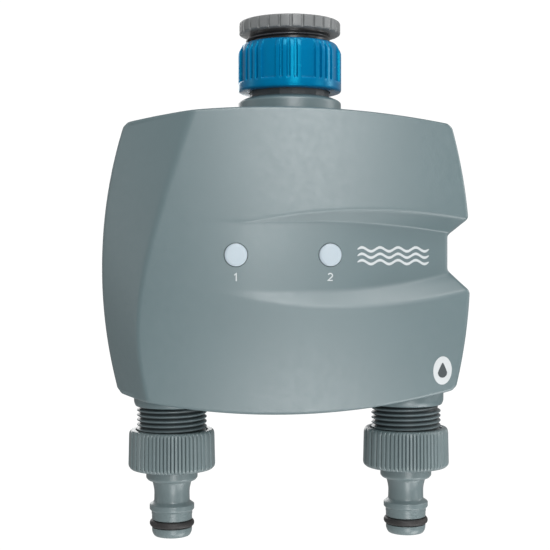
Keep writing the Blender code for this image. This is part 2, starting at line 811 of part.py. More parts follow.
def build_hose_adaptor(number, side):
    bm = bmesh.new()
    ribs = 52
    few = 26
    many = ribs * 2

    def ribbed(radius, z, depth):
        angles = [2.0 * math.pi * index / many for index in range(many)]
        radii = [radius if index % 2 == 0 else radius - depth for index in range(many)]
        return add_angle_ring(bm, angles, radii, z)

    rings = [
        add_ring(bm, 13.6, HOSE_NUT_TOP_Z, few),
        ribbed(HOSE_NUT_RADIUS - 0.9, HOSE_NUT_TOP_Z, 0.0),
        ribbed(HOSE_NUT_RADIUS, HOSE_NUT_TOP_Z - 1.0, 0.5),
        ribbed(HOSE_NUT_RADIUS, HOSE_NUT_BOTTOM_Z + 1.4, 0.5),
        ribbed(HOSE_NUT_RADIUS - 1.4, HOSE_NUT_BOTTOM_Z, 0.0),
    ]
    profile = (
        (9.75, HOSE_NUT_BOTTOM_Z), (9.75, -161.8), (8.8, -162.3), (6.8, -164.0), (6.8, -170.6), (8.45, -171.4),
        (8.45, -173.6), (7.0, -173.8), (7.0, -174.4), (7.7, -174.6), (7.7, -177.1), (6.2, -177.1),
        (6.2, -180.1), (7.65, -180.1), (7.65, -182.5), (6.9, HOSE_TIP_Z), (HOSE_BORE_RADIUS, HOSE_TIP_Z),
        (HOSE_BORE_RADIUS, -155.2), (13.6, -155.2),
    )
    rings += [add_ring(bm, radius, z, few) for radius, z in profile]
    for first, second in zip(rings[:-1], rings[1:]):
        join_rings(bm, first, second)
    join_rings(bm, rings[-1], rings[0])
    finish_object("hose_adaptor_%d" % number, bm, "hose_plastic", (side * OUTLET_X, 0.0, 0.0))


def build_outlets():
    for number, side in ((1, -1.0), (2, 1.0)):
        place = (side * OUTLET_X, 0.0, 0.0)
        build_valve(number, side)
        build_hose_adaptor(number, side)
        washer = ((8.0, -155.0), (13.1, -155.0), (13.1, -152.7), (8.0, -152.7))
        lathe("outlet_washer_%d" % number, washer, "rubber", 26, place)
        ring = []
        for index in range(6):
            phase = 2.0 * math.pi * index / 6.0
            ring.append((7.42 + 1.05 * math.cos(phase), -178.6 + 1.25 * math.sin(phase)))
        lathe("o_ring_%d" % number, ring, "rubber", 20, place, angle=60.0)


# Buttons, board and battery drawer


def build_buttons():
    for number, x in enumerate(BUTTON_X, 1):
        face = front_depth(x, BUTTON_LEVEL_Z) + BUTTON_PROUD
        stem_end = -SWITCH_FACE_Y + 1.15
        profile = (
            (1.8, stem_end), (1.8, face - 4.6), (3.2, face - 4.4), (BUTTON_RADIUS, face - 3.4),
            (BUTTON_RADIUS, face - 0.5), (BUTTON_RADIUS - 0.5, face),
        )
        place = (x, 0.0, BUTTON_LEVEL_Z)
        lathe("button_%d" % number, profile, "button", 20, place, (90.0, 0.0, 0.0), loop=False)
        seal = (
            (4.4, face - 5.0), (5.6, face - 5.0), (5.6, face - 4.0), (4.4, face - 4.0),
        )
        lathe("button_seal_%d" % number, seal, "rubber", 16, place, (90.0, 0.0, 0.0))
        low = (x - 3.0, SWITCH_FACE_Y, BUTTON_LEVEL_Z - 3.0)
        high = (x + 3.0, -16.8, BUTTON_LEVEL_Z + 3.0)
        box("switch_%d" % number, low, high, "dark_plastic")


def build_board():
    box("circuit_board", (-34.0, -16.6, -98.0), (34.0, -15.0, -62.0), "board")
    box("radio_module", (-8.0, -18.6, -93.0), (8.0, -16.8, -83.5), "steel")
    box("lamp_1", (BUTTON_X[0] + 5.0, -18.0, -72.5), (BUTTON_X[0] + 7.0, -16.8, -70.5), "button")
    box("lamp_2", (BUTTON_X[1] + 5.0, -18.0, -72.5), (BUTTON_X[1] + 7.0, -16.8, -70.5), "button")
    capacitor = ((4.0, 6.6), (4.0, 14.6), (3.6, 14.8))
    lathe("capacitor", capacitor, "steel", 12, (25.5, 0.0, -88.0), (90.0, 0.0, 0.0), loop=False)


def build_battery_drawer():
    bay = box("battery_bay", (-19.0, 2.6, -129.9), (19.0, 23.2, -76.0), "dark_plastic")
    cut(bay, "box", ((-17.6, 4.0, -140.0), (17.6, 21.8, -77.4)))
    drawer = box("battery_drawer", (-17.2, 4.4, -133.5), (17.2, 21.4, -79.5), "housing")
    join(drawer, "box", ((-18.0, 3.7, -134.5), (18.0, 21.9, -132.3)))
    cut(drawer, "box", ((-16.0, 5.4, -131.8), (16.0, 30.0, -70.0)))
    cut(drawer, "box", ((-8.0, 10.0, -137.0), (8.0, 15.0, -133.5)))
    for number, x in ((1, -7.6), (2, 7.6)):
        cell = ((6.0, -131.0), (7.1, -130.6), (7.1, -82.4), (6.6, -82.0), (2.6, -82.0), (2.6, -80.6))
        lathe("battery_%d" % number, cell, "cell", 16, (x, 13.0, 0.0), loop=False)
        box("battery_contact_%d" % number, (x - 4.0, 9.0, -78.4), (x + 4.0, 17.0, -77.8), "steel")
    box("bridge_contact", (-13.0, 8.0, -131.6), (13.0, 18.0, -131.2), "steel")
    seal = box("drawer_seal", (-17.9, 3.8, -132.1), (17.9, 21.8, -131.4), "rubber")
    cut(seal, "box", ((-17.4, 4.2, -135.0), (17.4, 21.6, -129.0)))


clear_scene()
build_housing()
build_screws()
build_inlet()
build_outlets()
build_buttons()
build_board()
build_battery_drawer()
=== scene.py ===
"""Looks of a two-outlet tap timer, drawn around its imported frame. Shapes are in millimetres."""

import math

import bmesh
import bpy
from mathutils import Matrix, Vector
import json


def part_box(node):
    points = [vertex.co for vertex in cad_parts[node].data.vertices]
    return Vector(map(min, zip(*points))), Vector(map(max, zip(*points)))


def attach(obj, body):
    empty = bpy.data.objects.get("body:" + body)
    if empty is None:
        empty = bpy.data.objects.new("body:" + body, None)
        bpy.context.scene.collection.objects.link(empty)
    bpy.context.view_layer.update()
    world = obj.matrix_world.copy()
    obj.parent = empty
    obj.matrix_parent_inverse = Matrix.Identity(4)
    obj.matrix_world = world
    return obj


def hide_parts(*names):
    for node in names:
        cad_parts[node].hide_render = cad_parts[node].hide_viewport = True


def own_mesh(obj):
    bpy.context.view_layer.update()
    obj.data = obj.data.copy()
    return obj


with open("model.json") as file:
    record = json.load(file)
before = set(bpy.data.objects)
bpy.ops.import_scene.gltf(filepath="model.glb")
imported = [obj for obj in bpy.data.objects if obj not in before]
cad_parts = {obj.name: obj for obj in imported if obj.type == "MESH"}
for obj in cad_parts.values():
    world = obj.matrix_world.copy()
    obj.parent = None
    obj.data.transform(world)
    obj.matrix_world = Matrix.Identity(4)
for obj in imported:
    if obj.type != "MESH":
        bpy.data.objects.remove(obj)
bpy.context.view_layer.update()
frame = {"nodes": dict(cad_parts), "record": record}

MM = 0.001
# Height of the face's crown, the buttons and the scoop.
LEVEL = -77.0
OUTLET_X = 44.8
OUTLETS = ((1, -1.0), (2, 1.0))
BUTTON_X = (-21.2, 12.6)
BUTTON_RADIUS = 4.1
BUTTON_PROUD = 0.5
# Half of the gap between the two covers.
SEAM = 0.35

# ---- materials

HOUSING = (0.095, 0.147, 0.159)
GRAIN_DEPTH = 0.00004
FINE_GRAIN_DEPTH = 0.00003
SLOW_SCALE = 45.0
MIDDLE_SCALE = 420.0
BRUSH_STRETCH = 0.04
GRAIN_TONE = 0.55
# Lighter edges: part wear, part painted highlight on edges that catch light.
WEAR_AND_HIGHLIGHT_TONE = 1.5
# Painted shade darkening creases and hollows.
PAINTED_CREASE_SHADE_TONE = 0.35
# Painted shade in thread roots, by distance from the axis.
PAINTED_GROOVE_SHADE_TONE = 0.15
GLOSS_SPREAD = 0.04


def noise(tree, coords, scale, detail=2.0, roughness=0.5):
    made = tree.nodes.new("ShaderNodeTexNoise")
    made.inputs["Scale"].default_value = scale
    made.inputs["Detail"].default_value = detail
    made.inputs["Roughness"].default_value = roughness
    tree.links.new(coords, made.inputs["Vector"])
    return made.outputs["Fac"]


def ramp(tree, fac, low, high, low_value, high_value):
    made = tree.nodes.new("ShaderNodeMapRange")
    made.inputs["From Min"].default_value = low
    made.inputs["From Max"].default_value = high
    made.inputs["To Min"].default_value = low_value
    made.inputs["To Max"].default_value = high_value
    tree.links.new(fac, made.inputs["Value"])
    return made.outputs["Result"]


def mix(tree, fac, first, second):
    """Blend two colours, each a value or a link, by a linked factor."""
    made = tree.nodes.new("ShaderNodeMix")
    made.data_type = "RGBA"
    sockets = [item for item in made.inputs if item.type == "RGBA"]
    for socket, value in zip(sockets, (first, second)):
        if isinstance(value, tuple):
            socket.default_value = (*value, 1.0)
        else:
            tree.links.new(value, socket)
    tree.links.new(fac, made.inputs["Factor"])
    return next(item for item in made.outputs if item.type == "RGBA")


def scaled(colour, amount):
    return tuple(min(1.0, channel * amount) for channel in colour)


def grain_noise(tree, place, grain, brushed):
    if not brushed:
        return noise(tree, place, grain, 2.5, 0.6)
    stretch = tree.nodes.new("ShaderNodeMapping")
    stretch.inputs["Scale"].default_value = (1.0, 1.0, BRUSH_STRETCH)
    tree.links.new(place, stretch.inputs["Vector"])
    return noise(tree, stretch.outputs["Vector"], grain, 2.0)


def axis_distance(tree, place):
    """How far a point is from the piece's own upright axis."""
    flat = tree.nodes.new("ShaderNodeVectorMath")
    flat.operation = "MULTIPLY"
    flat.inputs[1].default_value = (1.0, 1.0, 0.0)
    tree.links.new(place, flat.inputs[0])
    reach = tree.nodes.new("ShaderNodeVectorMath")
    reach.operation = "LENGTH"
    tree.links.new(flat.outputs["Vector"], reach.inputs[0])
    return reach.outputs["Value"]


def moulded(name, colour, rough=0.42, grain=2600.0, bump=0.25, depth=GRAIN_DEPTH, blotch=0.06,
            wear_and_highlight=0.10, metal=0.0, coat=0.0, scatter=0.0, specular=0.5, ior=1.5,
            tint=(1.0, 1.0, 1.0), painted_crease_shade=0.35, brushed=False, groove=None):
    """A moulded or metal finish: fine grain, slow tone changes, edges lightened by pointiness as wear and
    as painted highlight, painted shade in creases, uneven gloss.

    groove is a pair of radii: painted shade darkens the finish in the thread roots, from the larger radius
    to the smaller.
    """
    made = bpy.data.materials.new(name)
    made.use_nodes = True
    tree = made.node_tree
    shader = tree.nodes["Principled BSDF"]
    shader.inputs["Metallic"].default_value = metal
    shader.inputs["Coat Weight"].default_value = coat
    shader.inputs["Coat Roughness"].default_value = 0.12
    shader.inputs["IOR"].default_value = ior
    shader.inputs["Specular IOR Level"].default_value = specular
    shader.inputs["Specular Tint"].default_value = (*tint, 1.0)
    shader.inputs["Subsurface Weight"].default_value = scatter
    shader.inputs["Subsurface Radius"].default_value = (0.002, 0.002, 0.002)
    place = tree.nodes.new("ShaderNodeTexCoord").outputs["Object"]
    fine = grain_noise(tree, place, grain, brushed)
    slow = noise(tree, place, SLOW_SCALE, 3.0)
    middle = noise(tree, place, MIDDLE_SCALE, 3.0, 0.6)
    slow_share = ramp(tree, slow, 0.35, 0.65, 0.0, 1.0)
    tone = mix(tree, slow_share, scaled(colour, 1.0 - blotch), scaled(colour, 1.0 + blotch))
    fine_share = ramp(tree, fine, 0.38, 0.62, 0.0, 0.5 * blotch + 0.02)
    tone = mix(tree, fine_share, tone, scaled(colour, GRAIN_TONE))
    edge = tree.nodes.new("ShaderNodeNewGeometry").outputs["Pointiness"]
    # Edges lightened by pointiness: wear, and painted highlight where an edge catches light.
    wear_and_highlight_share = tree.nodes.new("ShaderNodeMath")
    wear_and_highlight_share.operation = "MULTIPLY"
    tree.links.new(ramp(tree, edge, 0.515, 0.58, 0.0, wear_and_highlight), wear_and_highlight_share.inputs[0])
    tree.links.new(ramp(tree, middle, 0.3, 0.6, 0.35, 1.0), wear_and_highlight_share.inputs[1])
    tone = mix(tree, wear_and_highlight_share.outputs[0], tone, scaled(colour, WEAR_AND_HIGHLIGHT_TONE))
    # Painted shade: concave creases and hollows darkened by pointiness, on every finish by default.
    painted_crease_shade_share = ramp(tree, edge, 0.40, 0.485, painted_crease_shade, 0.0)
    tone = mix(tree, painted_crease_shade_share, tone, scaled(colour, PAINTED_CREASE_SHADE_TONE))
    # Painted shade in the thread roots, deepening towards the axis.
    if groove:
        low, high = groove
        painted_groove_shade_share = ramp(tree, axis_distance(tree, place), low * MM, high * MM, 0.9, 0.0)
        tone = mix(tree, painted_groove_shade_share, tone, scaled(colour, PAINTED_GROOVE_SHADE_TONE))
    tree.links.new(tone, shader.inputs["Base Color"])
    gloss = ramp(tree, middle, 0.3, 0.7, rough - GLOSS_SPREAD, rough + GLOSS_SPREAD)
    tree.links.new(gloss, shader.inputs["Roughness"])
    bumper = tree.nodes.new("ShaderNodeBump")
    bumper.inputs["Strength"].default_value = bump
    bumper.inputs["Distance"].default_value = depth
    tree.links.new(fine, bumper.inputs["Height"])
    tree.links.new(bumper.outputs["Normal"], shader.inputs["Normal"])
    return made


looks = {
    "housing": moulded("satin_grey_green", HOUSING, 0.40, 3000.0, 0.30, blotch=0.02, wear_and_highlight=0.06,
                       specular=0.9, ior=1.6),
    "dark_plastic": moulded("dark_moulding", (0.050, 0.062, 0.068), 0.42, 2200.0, 0.2, blotch=0.08),
    # The strong edge lightening on the nut's ribs is a painted highlight.
    "nut_blue": moulded("blue_moulding", (0.0, 0.128, 0.290), 0.24, 1800.0, 0.08, blotch=0.03,
                        wear_and_highlight=0.7, specular=0.8, tint=(0.02, 0.75, 1.0)),
    "reducer_grey": moulded("neutral_moulding", (0.170, 0.178, 0.180), 0.36, 2200.0, 0.2,
                            blotch=0.05),
    "rubber": moulded("sealing_rubber", (0.022, 0.021, 0.021), 0.55, 2600.0, 0.3, blotch=0.10,
                      wear_and_highlight=0.3),
    "button": moulded("pale_button", (0.44, 0.515, 0.565), 0.38, 2600.0, 0.15, blotch=0.015,
                      wear_and_highlight=0.02, scatter=0.3),
    "board": moulded("board_green", (0.015, 0.12, 0.05), 0.45, 900.0, 0.3, blotch=0.15),
    "steel": moulded("bright_steel", (0.58, 0.57, 0.55), 0.28, 1500.0, 0.1, metal=1.0, blotch=0.05,
                     brushed=True),
    "coil": moulded("coil_tape", (0.30, 0.11, 0.04), 0.50, 1500.0, 0.3, blotch=0.12, brushed=True),
    "cell": moulded("cell_sleeve", (0.55, 0.55, 0.53), 0.30, 1500.0, 0.1, blotch=0.04, coat=0.3),
    # Hose moulding: its edge lightening is partly painted highlight on the rib edges, and it has painted
    # crease shade.
    "hose_plastic": moulded("hose_moulding", (0.140, 0.185, 0.193), 0.32, 2400.0, 0.15,
                            FINE_GRAIN_DEPTH, 0.02, 0.12, specular=0.7, painted_crease_shade=0.5),
}
# Valve thread: painted shade in the roots and painted highlight on the crests.
thread_look = moulded("thread_moulding", (0.120, 0.158, 0.168), 0.34, 2200.0, 0.15, blotch=0.04,
                      wear_and_highlight=0.2, specular=0.6, painted_crease_shade=0.97, groove=(12.3, 13.15))
# A shaded copy of the reducer grey: painted shadow for the thread under the flange, with painted highlight
# on its crests and painted shade in its roots.
shaded_thread_look = moulded("shaded_thread_moulding", (0.038, 0.040, 0.046), 0.30, 2200.0, 0.15,
                           blotch=0.04, wear_and_highlight=0.8, specular=0.6, painted_crease_shade=0.9, groove=(15.4, 16.5))
# A darker copy of the hose moulding: painted shade for the grooves between the sleeve's ribs.
rib_groove_shade_look = moulded("hose_rib_groove_painted_shade", (0.078, 0.105, 0.111), 0.40, 2400.0, 0.15,
                         FINE_GRAIN_DEPTH, 0.02, 0.0, specular=0.4)
print_look = moulded("pad_print", (0.56, 0.59, 0.60), 0.5, 3500.0, 0.3, blotch=0.05, wear_and_highlight=0.0)

# ---- mesh helpers


def add_object(name, data):
    item = bpy.data.objects.new(name, data)
    bpy.context.scene.collection.objects.link(item)
    return item


def mesh_from(name, bm):
    mesh = bpy.data.meshes.new(name)
    bm.to_mesh(mesh)
    bm.free()
    return mesh


def finish_mesh(name, bm, look, body, replaced=(), place=(0.0, 0.0, 0.0), turn=(0.0, 0.0, 0.0),
                angle=38.0):
    """Turn a bmesh into a smooth piece that rides on a body and stands in for CAD nodes."""
    bmesh.ops.recalc_face_normals(bm, faces=bm.faces[:])
    mesh = mesh_from(name, bm)
    piece = add_object(name, mesh)
    mesh.shade_smooth()
    mesh.set_sharp_from_angle(angle=math.radians(angle))
    mesh.materials.append(look)
    piece.location = Vector(place) * MM
    piece.rotation_euler = [math.radians(value) for value in turn]
    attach(piece, body)
    if replaced:
        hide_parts(*replaced)
    return piece


def polar_point(bm, reach, angle, z):
    return bm.verts.new((reach * math.cos(angle) * MM, reach * math.sin(angle) * MM, z * MM))


def shaped_ring(bm, reaches, z):
    """A level ring with its own radius at each even step round."""
    count = len(reaches)
    ring = []
    for index, reach in enumerate(reaches):
        ring.append(polar_point(bm, reach, 2.0 * math.pi * index / count, z))
    return ring


def ring_at(bm, radius, z, count):
    return shaped_ring(bm, [radius] * count, z)


def join_rings(bm, lower, upper):
    """Close the band between two rings, one with a whole multiple of the other's points."""
    few, many = (lower, upper) if len(lower) <= len(upper) else (upper, lower)
    step = len(many) // len(few)
    total = len(many)
    for index, start in enumerate(few):
        following = few[(index + 1) % len(few)]
        first = index * step
        if step == 1:
            bm.faces.new((start, following, many[(first + 1) % total], many[first]))
            continue
        middle = step // 2
        for part in range(step):
            near = many[(first + part) % total]
            far = many[(first + part + 1) % total]
            if part < middle:
                bm.faces.new((start, far, near))
            elif part == middle:
                bm.faces.new((start, following, far, near))
            else:
                bm.faces.new((following, far, near))


def stack(bm, rings, closed=True):
    for first, second in zip(rings[:-1], rings[1:]):
        join_rings(bm, first, second)
    if closed:
        join_rings(bm, rings[-1], rings[0])


DEFAULT_ROUNDING = 0.3
SMALLEST_ROUNDING = 0.02
STRAIGHT_ON = -0.995


def rounded(profile, loop=True, steps=4):
    """Round each corner of a (radius, height[, corner radius]) profile."""
    total = len(profile)
    points = []
    for index in range(total):
        here = Vector(profile[index][:2])
        size = profile[index][2] if len(profile[index]) > 2 else DEFAULT_ROUNDING
        if not loop and index in (0, total - 1):
            points.append(tuple(here))
            continue
        before = Vector(profile[index - 1][:2])
        after = Vector(profile[(index + 1) % total][:2])
        back = before - here
        ahead = after - here
        reach = min(size, 0.48 * back.length, 0.48 * ahead.length)
        straight = back.normalized().dot(ahead.normalized()) < STRAIGHT_ON
        if reach < SMALLEST_ROUNDING or straight:
            points.append(tuple(here))
            continue
        start = here + back.normalized() * reach
        end = here + ahead.normalized() * reach
        for step in range(steps + 1):
            share = step / steps
            spot = start * (1.0 - share) ** 2 + here * 2.0 * share * (1.0 - share) + end * share ** 2
            points.append((spot.x, spot.y))
    return points


def lathe(name, profile, look, body, replaced=(), count=96, place=(0.0, 0.0, 0.0),
          turn=(0.0, 0.0, 0.0), loop=True, angle=38.0):
    """Spin a profile with rounded corners round the upright axis."""
    bm = bmesh.new()
    rings = [ring_at(bm, radius, z, count) for radius, z in rounded(profile, loop)]
    stack(bm, rings, loop)
    if not loop:
        bm.faces.new(rings[0])
        bm.faces.new(rings[-1])
    return finish_mesh(name, bm, look, body, replaced, place, turn, angle)


CREST_PROFILE = ((-0.28, 0.10), (-0.13, 0.80), (-0.06, 1.0), (0.06, 1.0), (0.13, 0.80), (0.28, 0.10))


def thread(bm, foot, root, crest, z_start, pitch, turns, count, top_z, broad=1.0):
    """A right-hand thread with rounded crests that fades in and out over a third of a turn."""
    profile = [(0.0, 0.0)]
    for share, height in CREST_PROFILE:
        profile.append((0.5 + share * broad, height))
    steps = turns * count
    fade = count // 3

    def spot(step, share, height):
        angle = 2.0 * math.pi * step / count
        rise = min(1.0, step / fade, (steps - step) / fade)
        reach = root + (crest - root) * height * max(0.0, rise)
        return polar_point(bm, reach, angle, z_start + pitch * (share + step / count))

    roots = [foot[0]]
    for step in range(1, steps + count + 1):
        angle = 2.0 * math.pi * step / count
        roots.append(polar_point(bm, root, angle, z_start + pitch * step / count))
    for step in range(count):
        corners = [foot[step], foot[(step + 1) % count], roots[step + 1]]
        if step > 0:
            corners.append(roots[step])
        bm.faces.new(corners)
    lines = [roots]
    for share, height in profile[1:]:
        lines.append([None] + [spot(step, share, height) for step in range(1, steps)])
    upper = roots[count:]
    for step in range(steps):
        for index, low in enumerate(lines):
            high = lines[index + 1] if index + 1 < len(lines) else upper
            a = low[step] if index == 0 or step > 0 else None
            b = low[step + 1] if index == 0 or step + 1 < steps else None
            c = high[step + 1] if high is upper or step + 1 < steps else None
            d = high[step] if high is upper or step > 0 else None
            corners = [vert for vert in (a, b, c, d) if vert is not None]
            if len(corners) >= 3:
                bm.faces.new(corners)
    bm.faces.new([roots[0]] + [line[1] for line in lines[1:]] + [upper[0]])
    bm.faces.new([roots[steps]] + [line[steps - 1] for line in lines[1:]] + [upper[steps]])
    top = ring_at(bm, root, top_z, count)
    for step in range(count):
        low = roots[steps + step]
        high = roots[steps + step + 1]
        bm.faces.new((low, high, top[(step + 1) % count], top[step]))
    bm.faces.new((roots[steps], roots[steps + count], top[0]))
    return top


# ---- housing surface

# Each side of the outline is a shallow arc: its furthest reach, its middle and its radius.
BODY_MIDDLE = -82.0
TOP_ARC = (-23.8, -7.0, 370.0)
BOTTOM_ARC = (-134.6, -6.0, 262.0)
LEFT_ARC = (70.6, BODY_MIDDLE, 178.0)
RIGHT_ARC = (64.2, BODY_MIDDLE, 208.0)
CORNER_RADIUS = 1.8
SMALLEST_CORNER = 0.6
# How much further out than the front cover's outline the seam stands on the right.
SEAM_STEP = 4.4

# The face is crowned both ways.
CROWN = 32.0
ACROSS_CURVE = 0.0015
UPRIGHT_CURVE = 0.0016
BACK_DEPTH = 28.0

# The crease between the face and the left flank is furthest left at FLANK_TURN.
FLANK_X = -56.4
FLANK_LEAN = 0.359
FLANK_TURN = -104.5
FLANK_BEND = 30.0
FLANK_EDGE_DEPTH = 6.5
FLANK_BOW = 0.12
CREASE_BLEND = 1.1

# The scoop's lines are parabolas: height over LEVEL at the turn, x of the turn, and spread.
LOWER_OUTER = (-18.31, 15.9, 400.0)
LOWER_INNER = (-13.33, 1.2, 471.0)
UPPER_INNER = (11.92, 5.1, 700.0)
UPPER_OUTER = (16.14, 26.0, 420.0)
# Left of these the lines stop curving, and the outer ones part at these slopes.
LOWER_STRAIGHT_X = -25.0
LOWER_SLOPE = 0.08
UPPER_STRAIGHT_X = -16.0
UPPER_SLOPE = 0.10
SCOOP_START_X = -18.0
SCOOP_SOFT_START = 6.0
SCOOP_RUN = 75.12
SCOOP_DEPTH = 7.5
SCOOP_POWER = 1.05

# The scoop runs out through the right edge as a notch.
NOTCH_X = 61.0
NOTCH_FLOOR_X = 57.0
NOTCH_BEND = 1.1

# Steps of the face grid in each band of rows and each part of the columns.
ROW_BANDS = (28, 12, 24, 12, 32)
COLUMN_PARTS = (24, 88)
SETTLE_PASSES = 14


def fall_back(value, arc):
    """How far an arc has fallen back at a value, as a negative number."""
    _, middle, radius = arc
    return math.sqrt(radius ** 2 - (value - middle) ** 2) - radius


def top_edge(x):
    return TOP_ARC[0] + fall_back(x, TOP_ARC)


def bottom_edge(x):
    return BOTTOM_ARC[0] - fall_back(x, BOTTOM_ARC)


def left_edge(z):
    """Distance of the left side from the middle plane, as a positive number."""
    return LEFT_ARC[0] + fall_back(z, LEFT_ARC)


def right_edge(z):
    return RIGHT_ARC[0] + fall_back(z, RIGHT_ARC)


def seam_x(x):
    return x + SEAM_STEP * (max(0.0, x) / RIGHT_ARC[0]) ** 2


def flank_line(z):
    return FLANK_X + FLANK_LEAN * (math.hypot(z - FLANK_TURN, FLANK_BEND) - FLANK_BEND)


def bow(x, line):
    """How far a parabola has left the height of its turn."""
    return (x - line[1]) ** 2 / line[2]


def scoop_lines(x):
    """Heights of the scoop's rim and floor lines, lowest first."""
    low_x = max(x, LOWER_STRAIGHT_X)
    high_x = max(x, UPPER_STRAIGHT_X)
    lower_part = LOWER_SLOPE * max(0.0, LOWER_STRAIGHT_X - x)
    upper_part = UPPER_SLOPE * max(0.0, UPPER_STRAIGHT_X - x)
    lower_outer = LOWER_OUTER[0] + bow(low_x, LOWER_OUTER) - lower_part
    lower_inner = LOWER_INNER[0] + bow(low_x, LOWER_INNER)
    upper_inner = UPPER_INNER[0] - bow(high_x, UPPER_INNER)
    upper_outer = UPPER_OUTER[0] - bow(high_x, UPPER_OUTER) + upper_part
    return [LEVEL + value for value in (lower_outer, lower_inner, upper_inner, upper_outer)]


def soft_ramp(value, start_soft, end_soft):
    """Goes from 0 to 1 as the value does, with both bends rounded."""
    if value <= -start_soft:
        return 0.0
    if value < start_soft:
        return (value + start_soft) ** 2 / (4.0 * start_soft)
    if value <= 1.0 - end_soft:
        return value
    if value < 1.0 + end_soft:
        return 1.0 - (1.0 + end_soft - value) ** 2 / (4.0 * end_soft)
    return 1.0


def side_share(gap, width, rim_bend, foot_bend):
    """0 at the rim and 1 at the foot of one sloping side of the scoop."""
    return soft_ramp(gap / width, min(0.5, rim_bend / width), min(0.5, foot_bend / width))


def scoop_share(x, z, rim_bend=0.75, upper_foot_bend=0.3, lower_foot_bend=0.75):
    """0 on the plain face and 1 on the scoop's floor, with each bend's size in mm."""
    lines = scoop_lines(x)
    low = side_share(z - lines[0], lines[1] - lines[0], rim_bend, lower_foot_bend)
    high = side_share(lines[3] - z, lines[3] - lines[2], rim_bend, upper_foot_bend)
    return min(low, high)


def notch_share(z):
    return scoop_share(NOTCH_X, z, NOTCH_BEND, NOTCH_BEND, NOTCH_BEND)


def plain_face(x, z):
    return CROWN - ACROSS_CURVE * x * x - UPRIGHT_CURVE * (z - LEVEL) ** 2


def front_depth(x, z):
    """The front's depth: the crowned face with its scoop, or the left flank, blended at the crease."""
    along = x - SCOOP_START_X
    run = 0.5 * (along + math.hypot(along, SCOOP_SOFT_START)) / SCOOP_RUN
    face = plain_face(x, z)
    face -= SCOOP_DEPTH * run ** SCOOP_POWER * scoop_share(x, z)
    crease = flank_line(z)
    start = plain_face(crease, z)
    share = (crease - x) / (crease + left_edge(z))
    straightness = 1.0 - FLANK_BOW * (1.0 - min(1.0, max(0.0, share)))
    flank = start + (FLANK_EDGE_DEPTH - start) * share * straightness
    near = max(CREASE_BLEND - abs(face - flank), 0.0) / CREASE_BLEND
    return min(face, flank) - near * near * CREASE_BLEND * 0.25


def back_depth(x, z):
    return BACK_DEPTH


def eased(count):
    """Shares from 0 to 1 that crowd towards both ends."""
    out = []
    for index in range(count):
        value = index / count
        out.append(0.5 * value + 0.5 * (0.5 - 0.5 * math.cos(math.pi * value)))
    return out


def grid_shares(counts, step):
    """Every step-th (band, share within the band), ending on the last band's far edge."""
    shares = []
    for band, count in enumerate(counts):
        shares += [(band, share) for share in eased(count)[::step]]
    return shares + [(len(counts) - 1, 1.0)]


def round_corner(x, z, inset):
    """Pull a point near a corner of the outline in onto the corner's round."""
    radius = max(SMALLEST_CORNER, CORNER_RADIUS - inset)
    sign = 1.0 if x > 0.0 else -1.0
    reach = (right_edge(z) if x > 0.0 else left_edge(z)) - inset
    upper = z > BODY_MIDDLE
    edge = top_edge(x) - inset if upper else bottom_edge(x) + inset
    across = 1.0 - (reach - abs(x)) / radius
    along = 1.0 - abs(edge - z) / radius
    if across <= 0.0 or along <= 0.0:
        return x, z
    new_across = across * math.sqrt(1.0 - 0.5 * along * along)
    new_along = along * math.sqrt(1.0 - 0.5 * across * across)
    drop = radius * (1.0 - new_along)
    return sign * (reach - radius * (1.0 - new_across)), (edge - drop if upper else edge + drop)


def surface_grid(inset, depth_at, sink, step):
    """Rows of (x, depth, z) that follow the scoop's edges and the flank's edge."""
    rows = []
    for band, share in grid_shares(ROW_BANDS, step):
        row = []
        for part, fraction in grid_shares(COLUMN_PARTS, step):
            x = 0.0
            z = LEVEL
            for _ in range(SETTLE_PASSES):
                crease = flank_line(z)
                if part == 0:
                    edge = inset - left_edge(z)
                    x = edge + (crease - edge) * fraction
                else:
                    end = right_edge(z) + (NOTCH_FLOOR_X - right_edge(z)) * notch_share(z) - inset
                    x = crease + (end - crease) * fraction
                lines = [bottom_edge(x) + inset] + scoop_lines(x) + [top_edge(x) - inset]
                z = lines[band] + (lines[band + 1] - lines[band]) * share
            x, z = round_corner(x, z, inset)
            row.append((x, depth_at(x, z) - sink, z))
        rows.append(row)
    return rows


# ---- covers

WALL_INSET = 2.8
WALL_SINK = 2.6
INSIDE_STEP = 4
STEEPEST_SLOPE = 1.6
SHORTEST_RUN = 0.05
SMOOTH_REACH = 3
ROLL_STEPS = 8
ROLL_CLEARANCE = 0.9
LIP_HEIGHT = 0.35
INNER_RIM_STEP = 0.4
COVER_SMOOTH = 32.0
# Shares of the way from the rolled edge down to the lip, and how far each ring tucks in.
SIDE_RINGS = ((0.3, 0.0), (0.65, 0.0), (0.92, 0.0), (1.0, 0.0), (1.0, 0.35))


def grid_border(grid):
    last_row = len(grid) - 1
    last_column = len(grid[0]) - 1
    border = [(0, column) for column in range(last_column)]
    border += [(row, last_column) for row in range(last_row)]
    border += [(last_row, column) for column in range(last_column, 0, -1)]
    return border + [(row, 0) for row in range(last_row, 0, -1)]


def border_normals(points):
    """The outward direction at each point of a closed border, seen from the front."""
    normals = []
    flat = [Vector((x, z)) for x, _, z in points]
    for index, here in enumerate(flat):
        arriving = (here - flat[index - 1]).normalized()
        leaving = (flat[(index + 1) % len(flat)] - here).normalized()
        tangent = (arriving + leaving).normalized()
        normals.append(Vector((tangent.y, -tangent.x)))
    return normals


def inward_step(row, column, last_row, last_column):
    """The grid point next to a border point, one step into the face."""
    return min(max(row, 1), last_row - 1), min(max(column, 1), last_column - 1)


